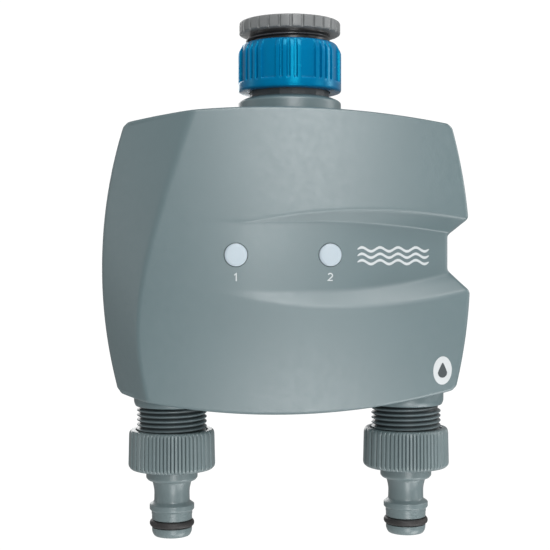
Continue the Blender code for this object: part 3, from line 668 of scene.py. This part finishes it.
def border_slopes(grid, border):
    """How steeply the face falls towards each border point, smoothed along the border."""
    slopes = []
    for row, column in border:
        value = grid[row][column]
        inner_row, inner_column = inward_step(row, column, len(grid) - 1, len(grid[0]) - 1)
        near = grid[inner_row][inner_column]
        run = math.hypot(value[0] - near[0], value[2] - near[2])
        fall = (near[1] - value[1]) / max(run, SHORTEST_RUN)
        slopes.append(min(STEEPEST_SLOPE, max(0.0, fall)))
    total = len(slopes)
    window = range(-SMOOTH_REACH, SMOOTH_REACH + 1)
    smooth = []
    for index in range(total):
        smooth.append(sum(slopes[(index + shift) % total] for shift in window) / len(window))
    return smooth


def shell(name, direction, depth_at, edge_radius, node_name):
    """A cover: face, rolled edge, side wall, lip at the seam, and an inside.

    The direction is -1 for the front cover and 1 for the back one.
    """
    bm = bmesh.new()
    is_back = direction > 0.0

    def add_point(x, depth, z):
        return bm.verts.new((x * MM, direction * depth * MM, z * MM))

    def add_grid(grid):
        points = [[add_point(*value) for value in row] for row in grid]
        for low, high in zip(points[:-1], points[1:]):
            for column in range(len(low) - 1):
                bm.faces.new((low[column], low[column + 1], high[column + 1], high[column]))
        border = grid_border(grid)
        values = [grid[row][column] for row, column in border]
        return border, values, [points[row][column] for row, column in border]

    outer = surface_grid(edge_radius, depth_at, 0.0, 1)
    inner = surface_grid(WALL_INSET, depth_at, WALL_SINK, INSIDE_STEP)
    if is_back:
        outer = [[(seam_x(x), depth, z) for x, depth, z in row] for row in outer]
        inner = [[(seam_x(x), depth, z) for x, depth, z in row] for row in inner]
    border, values, ring = add_grid(outer)
    _, inner_values, inner_ring = add_grid(inner)

    slopes = border_slopes(outer, border)
    outline = surface_grid(0.0, depth_at, 0.0, 1)
    moves = []
    for (row, column), value in zip(border, values):
        rim_x, _, rim_z = outline[row][column]
        if is_back:
            rim_x = seam_x(rim_x)
        moves.append((rim_x - value[0], rim_z - value[2]))
    for step in range(1, ROLL_STEPS + 1):
        share = step / ROLL_STEPS
        rolled = []
        for value, move, slope in zip(values, moves, slopes):
            control = value[1] - edge_radius * slope
            end = max(control - edge_radius, SEAM + ROLL_CLEARANCE)
            out = 2.0 * share * (1.0 - share) + share * share
            depth = value[1] * (1.0 - share) ** 2 + control * 2.0 * share * (1.0 - share)
            depth += end * share * share
            rolled.append((value[0] + move[0] * out, depth, value[2] + move[1] * out))
        made = [add_point(*value) for value in rolled]
        join_rings(bm, ring, made)
        ring = made

    normals = border_normals(rolled)
    for share, tuck in SIDE_RINGS:
        made = []
        for (x, depth, z), normal in zip(rolled, normals):
            seam = x if is_back else seam_x(x)
            low = SEAM if tuck else depth + (SEAM + LIP_HEIGHT - depth) * share
            made.append(add_point(x + (seam - x) * share - normal.x * tuck, low, z - normal.y * tuck))
        join_rings(bm, ring, made)
        ring = made

    rim = []
    for value, normal in zip(inner_values, border_normals(inner_values)):
        x = value[0] + normal.x * INNER_RIM_STEP
        z = value[2] + normal.y * INNER_RIM_STEP
        rim.append(add_point(x if is_back else seam_x(x), SEAM, z))
    join_rings(bm, ring, rim)
    join_rings(bm, rim, inner_ring)
    return finish_mesh(name, bm, looks["housing"], "housing", (node_name,), angle=COVER_SMOOTH)


def tube(bm, start, end, radius, count):
    start = Vector(start) * MM
    end = Vector(end) * MM
    matrix = (end - start).to_track_quat("Z", "Y").to_matrix().to_4x4()
    matrix.translation = (start + end) * 0.5
    bmesh.ops.create_cone(bm, cap_ends=True, segments=count, radius1=radius * MM,
                          radius2=radius * MM, depth=(end - start).length, matrix=matrix)


QUARTER_STEPS = 8


def rounded_prism(bm, centre, size, corner, low_y, high_y):
    """A block with round corners in the front view, its size given as half widths."""
    outline = []
    for quarter, (sx, sz) in enumerate(((1, 1), (-1, 1), (-1, -1), (1, -1))):
        for step in range(QUARTER_STEPS + 1):
            angle = math.radians(90.0 * quarter + 90.0 * step / QUARTER_STEPS)
            outline.append((centre[0] + sx * (size[0] - corner) + corner * math.cos(angle),
                            centre[1] + sz * (size[1] - corner) + corner * math.sin(angle)))
    low, high = ([bm.verts.new((x * MM, y * MM, z * MM)) for x, z in outline] for y in (low_y, high_y))
    join_rings(bm, low, high)
    bm.faces.new(low)
    bm.faces.new(high)


def carve(piece, fill):
    """Cut the solids that the fill function draws out of a piece."""
    bm = bmesh.new()
    fill(bm)
    bmesh.ops.recalc_face_normals(bm, faces=bm.faces[:])
    tool_name = piece.name + "_tool"
    tool = add_object(tool_name, mesh_from(tool_name, bm))
    modifier = piece.modifiers.new("carve", "BOOLEAN")
    modifier.operation = "DIFFERENCE"
    modifier.solver = "EXACT"
    modifier.object = tool
    graph = bpy.context.evaluated_depsgraph_get()
    fresh = bpy.data.meshes.new_from_object(piece.evaluated_get(graph))
    piece.modifiers.clear()
    piece.data = fresh
    bpy.data.objects.remove(tool, do_unlink=True)
    fresh.set_sharp_from_angle(angle=math.radians(COVER_SMOOTH))


# The x and z of each cover screw.
SCREWS = ((-57.0, -38.0), (53.0, -38.0), (-63.0, -106.0), (62.2, -107.5), (-25.0, -122.0),
          (25.0, -122.0))
SCREW_WELL_RADIUS = 3.3
SCREW_WELL_FLOOR = 24.4
BEYOND_BACK = 30.0
INLET_HOLE_RADIUS = 19.6
OUTLET_HOLE_RADIUS = 14.4
BUTTON_GAP = 0.2


def collar_holes(bm):
    tube(bm, (0.0, 0.0, -32.0), (0.0, 0.0, -10.0), INLET_HOLE_RADIUS, 128)
    for _, side in OUTLETS:
        x = side * OUTLET_X
        tube(bm, (x, 0.0, -146.0), (x, 0.0, -122.0), OUTLET_HOLE_RADIUS, 112)


def front_tools(bm):
    collar_holes(bm)
    for x in BUTTON_X:
        tube(bm, (x, -45.0, LEVEL), (x, -18.0, LEVEL), BUTTON_RADIUS + BUTTON_GAP, 72)


def back_tools(bm):
    """The collar holes, the drawer's opening, a sunk panel, three grooves and the screw wells."""
    collar_holes(bm)
    rounded_prism(bm, (0.0, -134.0), (18.25, 6.0), 0.4, 3.45, 22.15)
    rounded_prism(bm, (0.0, -66.0), (27.0, 15.0), 3.0, 27.4, BEYOND_BACK)
    for row in range(3):
        rounded_prism(bm, (0.0, -94.0 - 5.0 * row), (21.0, 0.8), 0.79, 27.3, BEYOND_BACK)
    for x, z in SCREWS:
        tube(bm, (x, SCREW_WELL_FLOOR, z), (x, BEYOND_BACK, z), SCREW_WELL_RADIUS, 48)


front = shell("front_cover", -1.0, front_depth, 1.5, "housing_front")
carve(front, front_tools)
back = shell("back_cover", 1.0, back_depth, 4.0, "housing_back")
carve(back, back_tools)

# ---- inlet

SHOULDER = ((15.45, -28.0), (19.5, -28.0), (19.5, -19.6, 0.5), (18.7, -18.9, 0.6), (16.4, -17.9, 0.4),
            (15.45, -17.9, 0.2))
# The grip ribs stand in groups of four. All in degrees.
NUT_PHASE = -95.3
NUT_GROUP_SPACING = 45.0
NUT_RIB_OFFSETS = (-12.0, -4.0, 4.0, 12.0)
NUT_RIB_HALF = 1.9
NUT_RIB_FLANK = 0.9
# The nut's outer wall from the bottom up: radius between the ribs, radius on them, height.
NUT_WALL = (
    (19.2, 19.2, -15.35), (19.5, 19.5, -15.0), (19.6, 19.6, -14.5), (19.6, 19.6, -13.0),
    (19.58, 19.6, -12.3), (19.4, 19.6, -12.05), (18.9, 19.6, -11.9), (18.65, 19.6, -11.7),
    (18.6, 19.6, -11.0), (18.6, 19.6, -8.0), (18.6, 19.6, -5.0), (18.6, 19.6, -2.5),
    (18.55, 19.55, -1.0), (18.45, 19.3, -0.3), (18.2, 18.6, 1.0), (17.95, 18.1, 1.9),
    (17.75, 17.75, 2.3), (17.5, 17.5, 2.52), (17.3, 17.3, 2.6),
)
NUT_FOOT = ((15.4, -15.5), (18.7, -15.5))
NUT_INSIDE = ((17.1, 2.6), (16.9, 2.4), (16.9, -12.8), (15.4, -12.8))


def bump_share(angle, centre, half, flank):
    """1 within half of the centre angle, easing to 0 over the flank. All but angle in degrees."""
    gap = abs((math.degrees(angle) - centre + 180.0) % 360.0 - 180.0)
    value = min(1.0, max(0.0, (half + flank - gap) / flank))
    return value * value * (3.0 - 2.0 * value)


def nearest_mark(angle, spacing, phase):
    """The evenly spaced mark, in degrees, that an angle in radians is closest to."""
    return round((math.degrees(angle) - phase) / spacing) * spacing + phase


def around(count):
    """Even steps once round, in radians."""
    return [2.0 * math.pi * index / count for index in range(count)]


def nut_rib(angle):
    centre = nearest_mark(angle, NUT_GROUP_SPACING, NUT_PHASE)
    return max(bump_share(angle, centre + offset, NUT_RIB_HALF, NUT_RIB_FLANK)
               for offset in NUT_RIB_OFFSETS)


def build_nut():
    bm = bmesh.new()
    few = 240
    many = 4 * few
    ribs = [nut_rib(angle) for angle in around(many)]
    rings = [ring_at(bm, radius, z, few) for radius, z in NUT_FOOT]
    rings += [shaped_ring(bm, [low + (high - low) * rib for rib in ribs], z) for low, high, z in NUT_WALL]
    rings += [ring_at(bm, radius, z, few) for radius, z in NUT_INSIDE]
    stack(bm, rings)
    finish_mesh("swivel_nut", bm, looks["nut_blue"], "inlet_nut", ("inlet_nut",), angle=50.0)


REDUCER_FOOT = ((8.5, -3.5), (14.7, -3.5), (15.2, -3.0))
REDUCER_FLANGE = ((15.3, 6.35), (18.4, 6.4))
# The flange's notched rim from the bottom up: radius, height, depth of the notches.
REDUCER_RIM = (
    (18.85, 6.45, 0.4), (19.1, 6.6, 0.75), (19.2, 6.95, 0.95), (19.2, 8.0, 0.95), (19.2, 9.2, 0.95),
    (19.2, 10.1, 0.95), (19.05, 10.55, 0.85), (18.7, 10.85, 0.5), (18.3, 11.0, 0.1),
)
REDUCER_INSIDE = ((14.6, 11.0), (14.2, 10.95), (13.6, 10.5), (13.4, 10.1), (13.4, -2.2), (8.5, -2.2))
RIM_PHASE = -2.4
RIM_SPACING = 360.0 / 28.0


def rim_notch(angle):
    return bump_share(angle, nearest_mark(angle, RIM_SPACING, RIM_PHASE), 1.1, 0.8)


def build_reducer():
    bm = bmesh.new()
    few = 112
    foot = [ring_at(bm, radius, z, few) for radius, z in REDUCER_FOOT]
    top = thread(bm, foot[-1], 15.2, 16.62, -3.0, 2.309, 3, few, 6.0)
    stack(bm, foot, False)
    notches = [rim_notch(angle) for angle in around(6 * few)]
    rings = [top] + [ring_at(bm, radius, z, few) for radius, z in REDUCER_FLANGE]
    rings += [shaped_ring(bm, [radius - depth * notch for notch in notches], z)
              for radius, z, depth in REDUCER_RIM]
    rings += [ring_at(bm, radius, z, few) for radius, z in REDUCER_INSIDE]
    stack(bm, rings, False)
    join_rings(bm, rings[-1], foot[0])
    return finish_mesh("reducing_ring", bm, looks["reducer_grey"], "reducer", ("reducer",), angle=50.0)


def second_look(piece, look, chosen):
    """Give a second look to the faces whose height and distance from the axis are chosen."""
    piece.data.materials.append(look)
    for face in piece.data.polygons:
        if chosen(face.center.z / MM, math.hypot(face.center.x, face.center.y) / MM):
            face.material_index = 1


lathe("inlet_shoulder", SHOULDER, looks["housing"], "housing", ("inlet_collar",), 144)
build_nut()
# The reducer's thread under the flange takes the painted shadow finish.
second_look(build_reducer(), shaded_thread_look, lambda z, reach: -3.6 < z < 6.2 and reach > 14.9)
lathe("tap_seal", ((8.5, -2.0), (13.1, -2.0), (13.1, 0.0), (8.5, 0.0)), looks["rubber"], "tap_washer",
      ("tap_washer",), 96)

# ---- outlets

BOSS = ((13.5, -124.5), (14.3, -124.5), (14.3, -132.4, 0.6), (13.8, -133.7, 0.5), (13.5, -134.0, 0.1))
VALVE_FOOT = ((11.4, -152.5), (12.06, -151.9))
VALVE_BODY = (
    (13.2, -133.3), (13.2, -119.0), (13.5, -118.6), (13.5, -104.5), (15.0, -104.0), (15.0, -100.4),
    (10.5, -100.4), (10.5, -117.0), (6.2, -117.0), (6.2, -100.4), (4.5, -100.4), (4.5, -119.0),
    (8.0, -125.0), (8.0, -152.5),
)

TAIL_RIBS = 46
TAIL_TOP = ((13.6, -143.3), (13.75, -143.0), (15.1, -143.0))
# The ribbed sleeve from the top down: radius, height, depth of the grooves.
TAIL_SHOULDER = ((15.45, -143.1, 0.0), (15.8, -143.5, 0.25), (16.05, -144.1, 0.55), (16.15, -144.8, 0.7))
TAIL_END = ((16.4, -156.2, 0.7), (16.25, -156.9, 0.6), (15.9, -157.4, 0.35), (15.4, -157.8, 0.0))
SLEEVE_TOP = -144.8
SLEEVE_LENGTH = 10.7
SLEEVE_RADIUS = 16.15
SLEEVE_FLARE = 0.25
GROOVE_DEPTH = 0.7
# The spigot under the sleeve and the bore inside it: radius, height, corner radius.
SPIGOT = [
    (10.1, -157.8, 0.3), (9.75, -158.0, 0.2), (9.75, -161.3, 0.35), (9.0, -162.2, 0.3), (7.55, -162.5, 0.2),
    (7.3, -163.2, 0.4), (6.65, -166.0, 1.5), (6.75, -170.3, 0.5), (8.1, -171.2, 0.2), (8.45, -171.5, 0.25),
    (8.45, -173.3, 0.3), (7.9, -173.8, 0.2), (7.72, -174.0, 0.1), (7.72, -175.1, 0.05), (7.6, -175.2, 0.05),
    (7.6, -177.1, 0.15), (6.2, -177.15, 0.1), (6.2, -180.05, 0.1), (7.6, -180.1, 0.15), (7.55, -181.9, 0.9),
    (6.7, -183.4, 0.6), (5.8, -183.5, 0.2), (5.5, -183.0, 0.2), (5.5, -155.2, 0.2), (13.6, -155.2, 0.1),
]
RING_CENTRE = (7.42, -178.6)
RING_HALF = (1.03, 1.25)
WASHER = ((8.0, -155.0), (13.1, -155.0), (13.1, -152.7), (8.0, -152.7))


def rib_share(angle):
    """1 on a rib and 0 in a groove. The ribs stand closer on two sides than on the others."""
    turned = angle + 0.5 * math.pi
    phase = TAIL_RIBS * turned / (2.0 * math.pi) + 2.3 * math.sin(2.0 * turned)
    return min(1.0, 1.35 * abs(math.sin(math.pi * phase)) ** 0.8)


def build_valve_housing(number, place):
    bm = bmesh.new()
    count = 96
    foot = [ring_at(bm, radius, z, count) for radius, z in VALVE_FOOT]
    stack(bm, foot, False)
    top = thread(bm, foot[-1], 12.06, 13.22, -151.9, 1.814, 9, count, -133.6, 1.45)
    rings = [top] + [ring_at(bm, radius, z, count) for radius, z in VALVE_BODY]
    stack(bm, rings, False)
    join_rings(bm, rings[-1], foot[0])
    finish_mesh("valve_housing_%d" % number, bm, thread_look, "housing", ("valve_body_%d" % number,),
                place, angle=50.0)


def in_groove(z, reach):
    """Whether a point of the ribbed sleeve lies low between two ribs."""
    return -156.6 < z < -144.4 and 15.0 < reach < 15.72 - 0.0234 * (z - SLEEVE_TOP)


def build_hose_tail(number, place):
    bm = bmesh.new()
    few = 160
    ribs = [rib_share(angle) for angle in around(6 * few)]

    def ribbed(radius, z, depth):
        return shaped_ring(bm, [radius - depth * (1.0 - rib) for rib in ribs], z)

    rings = [ring_at(bm, radius, z, few) for radius, z in TAIL_TOP]
    rings += [ribbed(*ring) for ring in TAIL_SHOULDER]
    for share in (0.25, 0.5, 0.75, 1.0):
        radius = SLEEVE_RADIUS + SLEEVE_FLARE * share
        rings.append(ribbed(radius, SLEEVE_TOP - SLEEVE_LENGTH * share, GROOVE_DEPTH))
    rings += [ribbed(*ring) for ring in TAIL_END]
    spigot = rounded([TAIL_END[-1][:2]] + SPIGOT + [TAIL_TOP[0]], False, 3)[1:-1]
    rings += [ring_at(bm, radius, z, few) for radius, z in spigot]
    stack(bm, rings)
    tail = finish_mesh("hose_tail_%d" % number, bm, looks["hose_plastic"], "hose_adaptor_%d" % number,
                       ("hose_adaptor_%d" % number,), place, angle=42.0)
    # Painted shade on the faces that lie in the grooves between the ribs.
    second_look(tail, rib_groove_shade_look, in_groove)


def build_seals(number, place):
    section = []
    for phase in around(24):
        section.append((RING_CENTRE[0] + RING_HALF[0] * math.cos(phase),
                        RING_CENTRE[1] + RING_HALF[1] * math.sin(phase), 0.0))
    lathe("seal_ring_%d" % number, section, looks["rubber"], "hose_adaptor_%d" % number,
          ("o_ring_%d" % number,), 96, place, angle=80.0)
    lathe("hose_washer_%d" % number, WASHER, looks["rubber"], "outlet_washer_%d" % number,
          ("outlet_washer_%d" % number,), 96, place)


WIRE_RADIUS = 0.35
SPRING_TURNS = 5
STEPS_PER_TURN = 32
WIRE_SIDES = 12


def build_spring(number, side):
    """A coil that fills its CAD spring's box and rides on the plunger."""
    bm = bmesh.new()
    box_low, box_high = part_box("plunger_spring_%d" % number)
    low = box_low.z / MM
    high = box_high.z / MM
    coil = 0.5 * ((box_high.x - box_low.x) / MM) - WIRE_RADIUS
    steps = SPRING_TURNS * STEPS_PER_TURN
    sections = []
    for step in range(steps + 1):
        angle = 2.0 * math.pi * step / STEPS_PER_TURN
        rise = low + WIRE_RADIUS + (high - low - 2.0 * WIRE_RADIUS) * step / steps
        section = []
        for phase in around(WIRE_SIDES):
            reach = coil + WIRE_RADIUS * math.cos(phase)
            section.append(polar_point(bm, reach, angle, rise + WIRE_RADIUS * math.sin(phase)))
        sections.append(section)
    stack(bm, sections, False)
    bm.faces.new(sections[0])
    bm.faces.new(sections[-1])
    spring = finish_mesh("return_spring_%d" % number, bm, looks["steel"], "plunger_%d" % number,
                         ("plunger_spring_%d" % number,), (side * OUTLET_X, 0.0, 0.0))
    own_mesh(spring)


for number, side in OUTLETS:
    place = (side * OUTLET_X, 0.0, 0.0)
    lathe("outlet_boss_%d" % number, BOSS, looks["housing"], "housing", ("outlet_collar_%d" % number,),
          112, place)
    build_valve_housing(number, place)
    build_hose_tail(number, place)
    build_seals(number, place)
for number, side in OUTLETS:
    build_spring(number, side)

# ---- buttons and print

PRINT_LIFT = 0.05
BADGE_DROP_LIFT = 0.09
STROKE_WIDTH = 0.42
NUMERAL_Z = LEVEL - 7.9

for number, x in enumerate(BUTTON_X, 1):
    face = front_depth(x, LEVEL) + BUTTON_PROUD
    profile = ((1.8, 19.95), (1.8, face - 4.6, 0.2), (3.2, face - 4.4, 0.3),
               (BUTTON_RADIUS, face - 3.4, 0.2), (BUTTON_RADIUS, face - 0.35, 0.3),
               (BUTTON_RADIUS - 0.7, face - 0.02, 0.5), (1.2, face, 0.3), (0.01, face))
    lathe("push_button_%d" % number, profile, looks["button"], "button_%d" % number,
          ("button_%d" % number,), 96, (x, 0.0, LEVEL), (90.0, 0.0, 0.0), False)


def surface_patch(name, outline_at, steps, look, lift=PRINT_LIFT):
    """A thin printed patch that follows the face. outline_at(u, v) gives x and z."""
    bm = bmesh.new()
    length_steps, width_steps = steps
    grids = []
    for height in (lift, -PRINT_LIFT):
        grid = []
        for i in range(length_steps + 1):
            line = []
            for j in range(width_steps + 1):
                x, z = outline_at(i / length_steps, j / width_steps)
                line.append(bm.verts.new((x * MM, -(front_depth(x, z) + height) * MM, z * MM)))
            grid.append(line)
        grids.append(grid)
    for grid in grids:
        for i in range(length_steps):
            for j in range(width_steps):
                bm.faces.new((grid[i][j], grid[i + 1][j], grid[i + 1][j + 1], grid[i][j + 1]))
    border = [(i, 0) for i in range(length_steps)]
    border += [(length_steps, j) for j in range(width_steps)]
    border += [(i, width_steps) for i in range(length_steps, 0, -1)]
    border += [(0, j) for j in range(width_steps, 0, -1)]
    join_rings(bm, [grids[0][i][j] for i, j in border], [grids[1][i][j] for i, j in border])
    item = finish_mesh(name, bm, look, "housing", (), angle=60.0)


def stroke(points, width):
    """A band of even width along a line of points, with mitred corners."""
    sides = ([], [])
    last = len(points) - 1
    for index, point in enumerate(points):
        here = Vector(point)
        before = (here - Vector(points[index - 1])).normalized() if index else None
        after = (Vector(points[index + 1]) - here).normalized() if index < last else None
        along = (before or after) + (after or before)
        along.normalize()
        across = Vector((-along.y, along.x)) * 0.5 * width / max(0.5, along.dot(after or before))
        sides[0].append(here - across)
        sides[1].append(here + across)

    def at(u, v):
        place = u * last
        index = min(int(place), last - 1)
        low = sides[0][index].lerp(sides[0][index + 1], place - index)
        high = sides[1][index].lerp(sides[1][index + 1], place - index)
        return tuple(low.lerp(high, v))
    return at


def numeral(name, points, x):
    """A numeral under the button at x."""
    placed = [(x + dx, NUMERAL_Z + dz) for dx, dz in points]
    surface_patch(name, stroke(placed, STROKE_WIDTH), (4 * (len(points) - 1), 2), print_look)


TWO_BOW = [(0.78 * math.cos(math.radians(turn)), 0.55 + 0.74 * math.sin(math.radians(turn)))
           for turn in range(160, -41, -20)]
numeral("numeral_1", ((-0.62, 0.72), (0.12, 1.28), (0.12, -1.38)), BUTTON_X[0])
numeral("numeral_2", TWO_BOW + [(-0.80, -1.20), (0.85, -1.20)], BUTTON_X[1])

WAVE_START_X = 22.5
WAVE_END_X = 49.5
WAVE_WIDTH = 0.95
WAVE_SWING = 0.7
WAVE_COUNT = 4
WAVE_HEIGHTS = (2.3, 0.0, -2.3)


def wave_line(base_z):
    """A wavy band with rounded ends."""
    def at(u, v):
        x = WAVE_START_X + (WAVE_END_X - WAVE_START_X) * u
        taper = min(1.0, 16.0 * u, 16.0 * (1.0 - u))
        thick = WAVE_WIDTH * math.sqrt(max(1.0 - (1.0 - taper) ** 2, 0.03))
        return x, base_z + WAVE_SWING * math.sin(2.0 * math.pi * WAVE_COUNT * u) + thick * (v - 0.5)
    return at


for number, height in enumerate(WAVE_HEIGHTS, 1):
    surface_patch("water_line_%d" % number, wave_line(LEVEL - 0.3 + height), (144, 2), print_look)


def disc(u, v):
    """A point of the unit disc from a point of the unit square."""
    p = 2.0 * u - 1.0
    q = 2.0 * v - 1.0
    return p * math.sqrt(1.0 - 0.5 * q * q), q * math.sqrt(1.0 - 0.5 * p * p)


BADGE = (54.0, LEVEL - 42.0)


def badge_oval(u, v):
    p, q = disc(u, v)
    return BADGE[0] + 3.5 * p, BADGE[1] + 5.2 * q


def badge_drop(u, v):
    """A disc drawn out upwards to a soft point."""
    p, q = disc(u, v)
    up = max(0.0, q)
    return BADGE[0] + 1.75 * p * (1.0 - 0.62 * up), BADGE[1] - 0.75 + (3.6 if q > 0.0 else 1.9) * q


surface_patch("badge_oval", badge_oval, (28, 28), print_look)
surface_patch("badge_drop", badge_drop, (20, 20), looks["dark_plastic"], BADGE_DROP_LIFT)

# ---- screws

for number, (x, z) in enumerate(SCREWS, 1):
    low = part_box("rear_screw_%d" % number)[0][1] / MM
    profile = ((0.9, low), (1.5, low + 0.8), (1.5, SCREW_WELL_FLOOR), (2.8, 24.5, 0.1), (2.8, 25.9, 0.3),
               (2.3, 26.5, 0.4), (0.05, 26.5))
    lathe("cover_screw_%d" % number, profile, looks["steel"], "housing", ("rear_screw_%d" % number,),
          48, (x, 0.0, z), (-90.0, 0.0, 0.0), False)

# ---- finishes of the CAD pieces that stay

slots = {item["node"]: item["material_slot"] for item in frame["record"]["subparts"]}
for name, item in frame["nodes"].items():
    look = looks[slots[name]]
    if item.material_slots:
        for entry in item.material_slots:
            entry.material = look
    else:
        item.data.materials.append(look)

# ---- stage, light and camera

FLOOR_HEIGHT = -0.9
FLOOR_SIZE = 30.0
BACKDROP_STRENGTH = 1.05
SURROUND_STRENGTH = 0.38


def show_to_camera(tree, usual, seen, output):
    """Let the camera see one shader while every other ray meets the usual one."""
    rays = tree.nodes.new("ShaderNodeLightPath")
    chooser = tree.nodes.new("ShaderNodeMixShader")
    tree.links.new(rays.outputs["Is Camera Ray"], chooser.inputs[0])
    tree.links.new(usual.outputs[0], chooser.inputs[1])
    tree.links.new(seen.outputs[0], chooser.inputs[2])
    tree.links.new(chooser.outputs[0], tree.nodes[output].inputs["Surface"])


def pale_floor():
    """White to look at, and a soft grey-white bounce for the object above it."""
    made = bpy.data.materials.new("floor_white")
    made.use_nodes = True
    tree = made.node_tree
    shader = tree.nodes["Principled BSDF"]
    shader.inputs["Base Color"].default_value = (0.80, 0.80, 0.80, 1.0)
    shader.inputs["Roughness"].default_value = 0.9
    seen = tree.nodes.new("ShaderNodeEmission")
    seen.inputs["Strength"].default_value = BACKDROP_STRENGTH
    show_to_camera(tree, shader, seen, "Material Output")
    return made


floor_bm = bmesh.new()
bmesh.ops.create_grid(floor_bm, x_segments=2, y_segments=2, size=FLOOR_SIZE)
floor = add_object("floor", mesh_from("floor", floor_bm))
floor.location = (0.0, 0.0, FLOOR_HEIGHT)
floor.data.materials.append(pale_floor())

world = bpy.data.worlds.new("studio")
bpy.context.scene.world = world
world.use_nodes = True
world_tree = world.node_tree
surround = world_tree.nodes["Background"]
surround.inputs["Color"].default_value = (1.0, 1.0, 1.0, 1.0)
surround.inputs["Strength"].default_value = SURROUND_STRENGTH
backdrop = world_tree.nodes.new("ShaderNodeBackground")
backdrop.inputs["Color"].default_value = (1.0, 1.0, 1.0, 1.0)
backdrop.inputs["Strength"].default_value = BACKDROP_STRENGTH
show_to_camera(world_tree, surround, backdrop, "World Output")

MIDDLE = (0.0, 0.0, -0.08)


def area_light(name, place, size, power):
    """A rectangular lamp at a place in metres, aimed at the object's middle."""
    data = bpy.data.lights.new(name, "AREA")
    data.shape = "RECTANGLE"
    data.size = size[0]
    data.size_y = size[1]
    data.energy = power
    item = add_object(name, data)
    item.location = place
    item.rotation_euler = (Vector(MIDDLE) - Vector(place)).to_track_quat("-Z", "Y").to_euler()


area_light("strip_upper", (0.12, -1.05, 0.38), (0.34, 1.10), 6.8)
area_light("strip_lower", (0.10, -0.82, -0.62), (0.36, 0.55), 2.9)
area_light("fill_below", (0.45, -0.25, -0.70), (0.4, 0.4), 1.9)
area_light("fill_right", (1.00, -0.50, -0.15), (0.35, 0.6), 1.0)
area_light("key_top", (0.06, -0.35, 0.75), (0.5, 0.4), 3.2)
area_light("strip_right", (0.95, 0.10, 0.25), (0.25, 0.9), 2.6)
area_light("strip_left", (-1.0, 0.15, 0.10), (0.25, 0.9), 0.5)
area_light("fill_back", (-0.25, 1.2, 0.25), (0.8, 0.8), 5.0)

# The camera stands a little to the left of the middle and aims slightly off its straight line.
SENSOR_WIDTH = 36.0
LENS = 76.90909
CAMERA_DISTANCE = 0.448
CAMERA_SIDE = math.radians(-4.0)
CAMERA_TILT = math.radians(90.0 - 0.98)
CAMERA_HEADING = math.radians(-3.29)

camera_data = bpy.data.cameras.new("camera")
camera = add_object("camera", camera_data)
camera_data.sensor_width = SENSOR_WIDTH
camera_data.lens = LENS
camera_data.clip_start = 0.01
camera_data.clip_end = 100.0
camera.location = (CAMERA_DISTANCE * math.sin(CAMERA_SIDE), -CAMERA_DISTANCE * math.cos(CAMERA_SIDE),
                   LEVEL * MM)
camera.rotation_euler = (CAMERA_TILT, 0.0, CAMERA_HEADING)
bpy.context.scene.camera = camera
bpy.context.scene.view_settings.view_transform = "Standard"
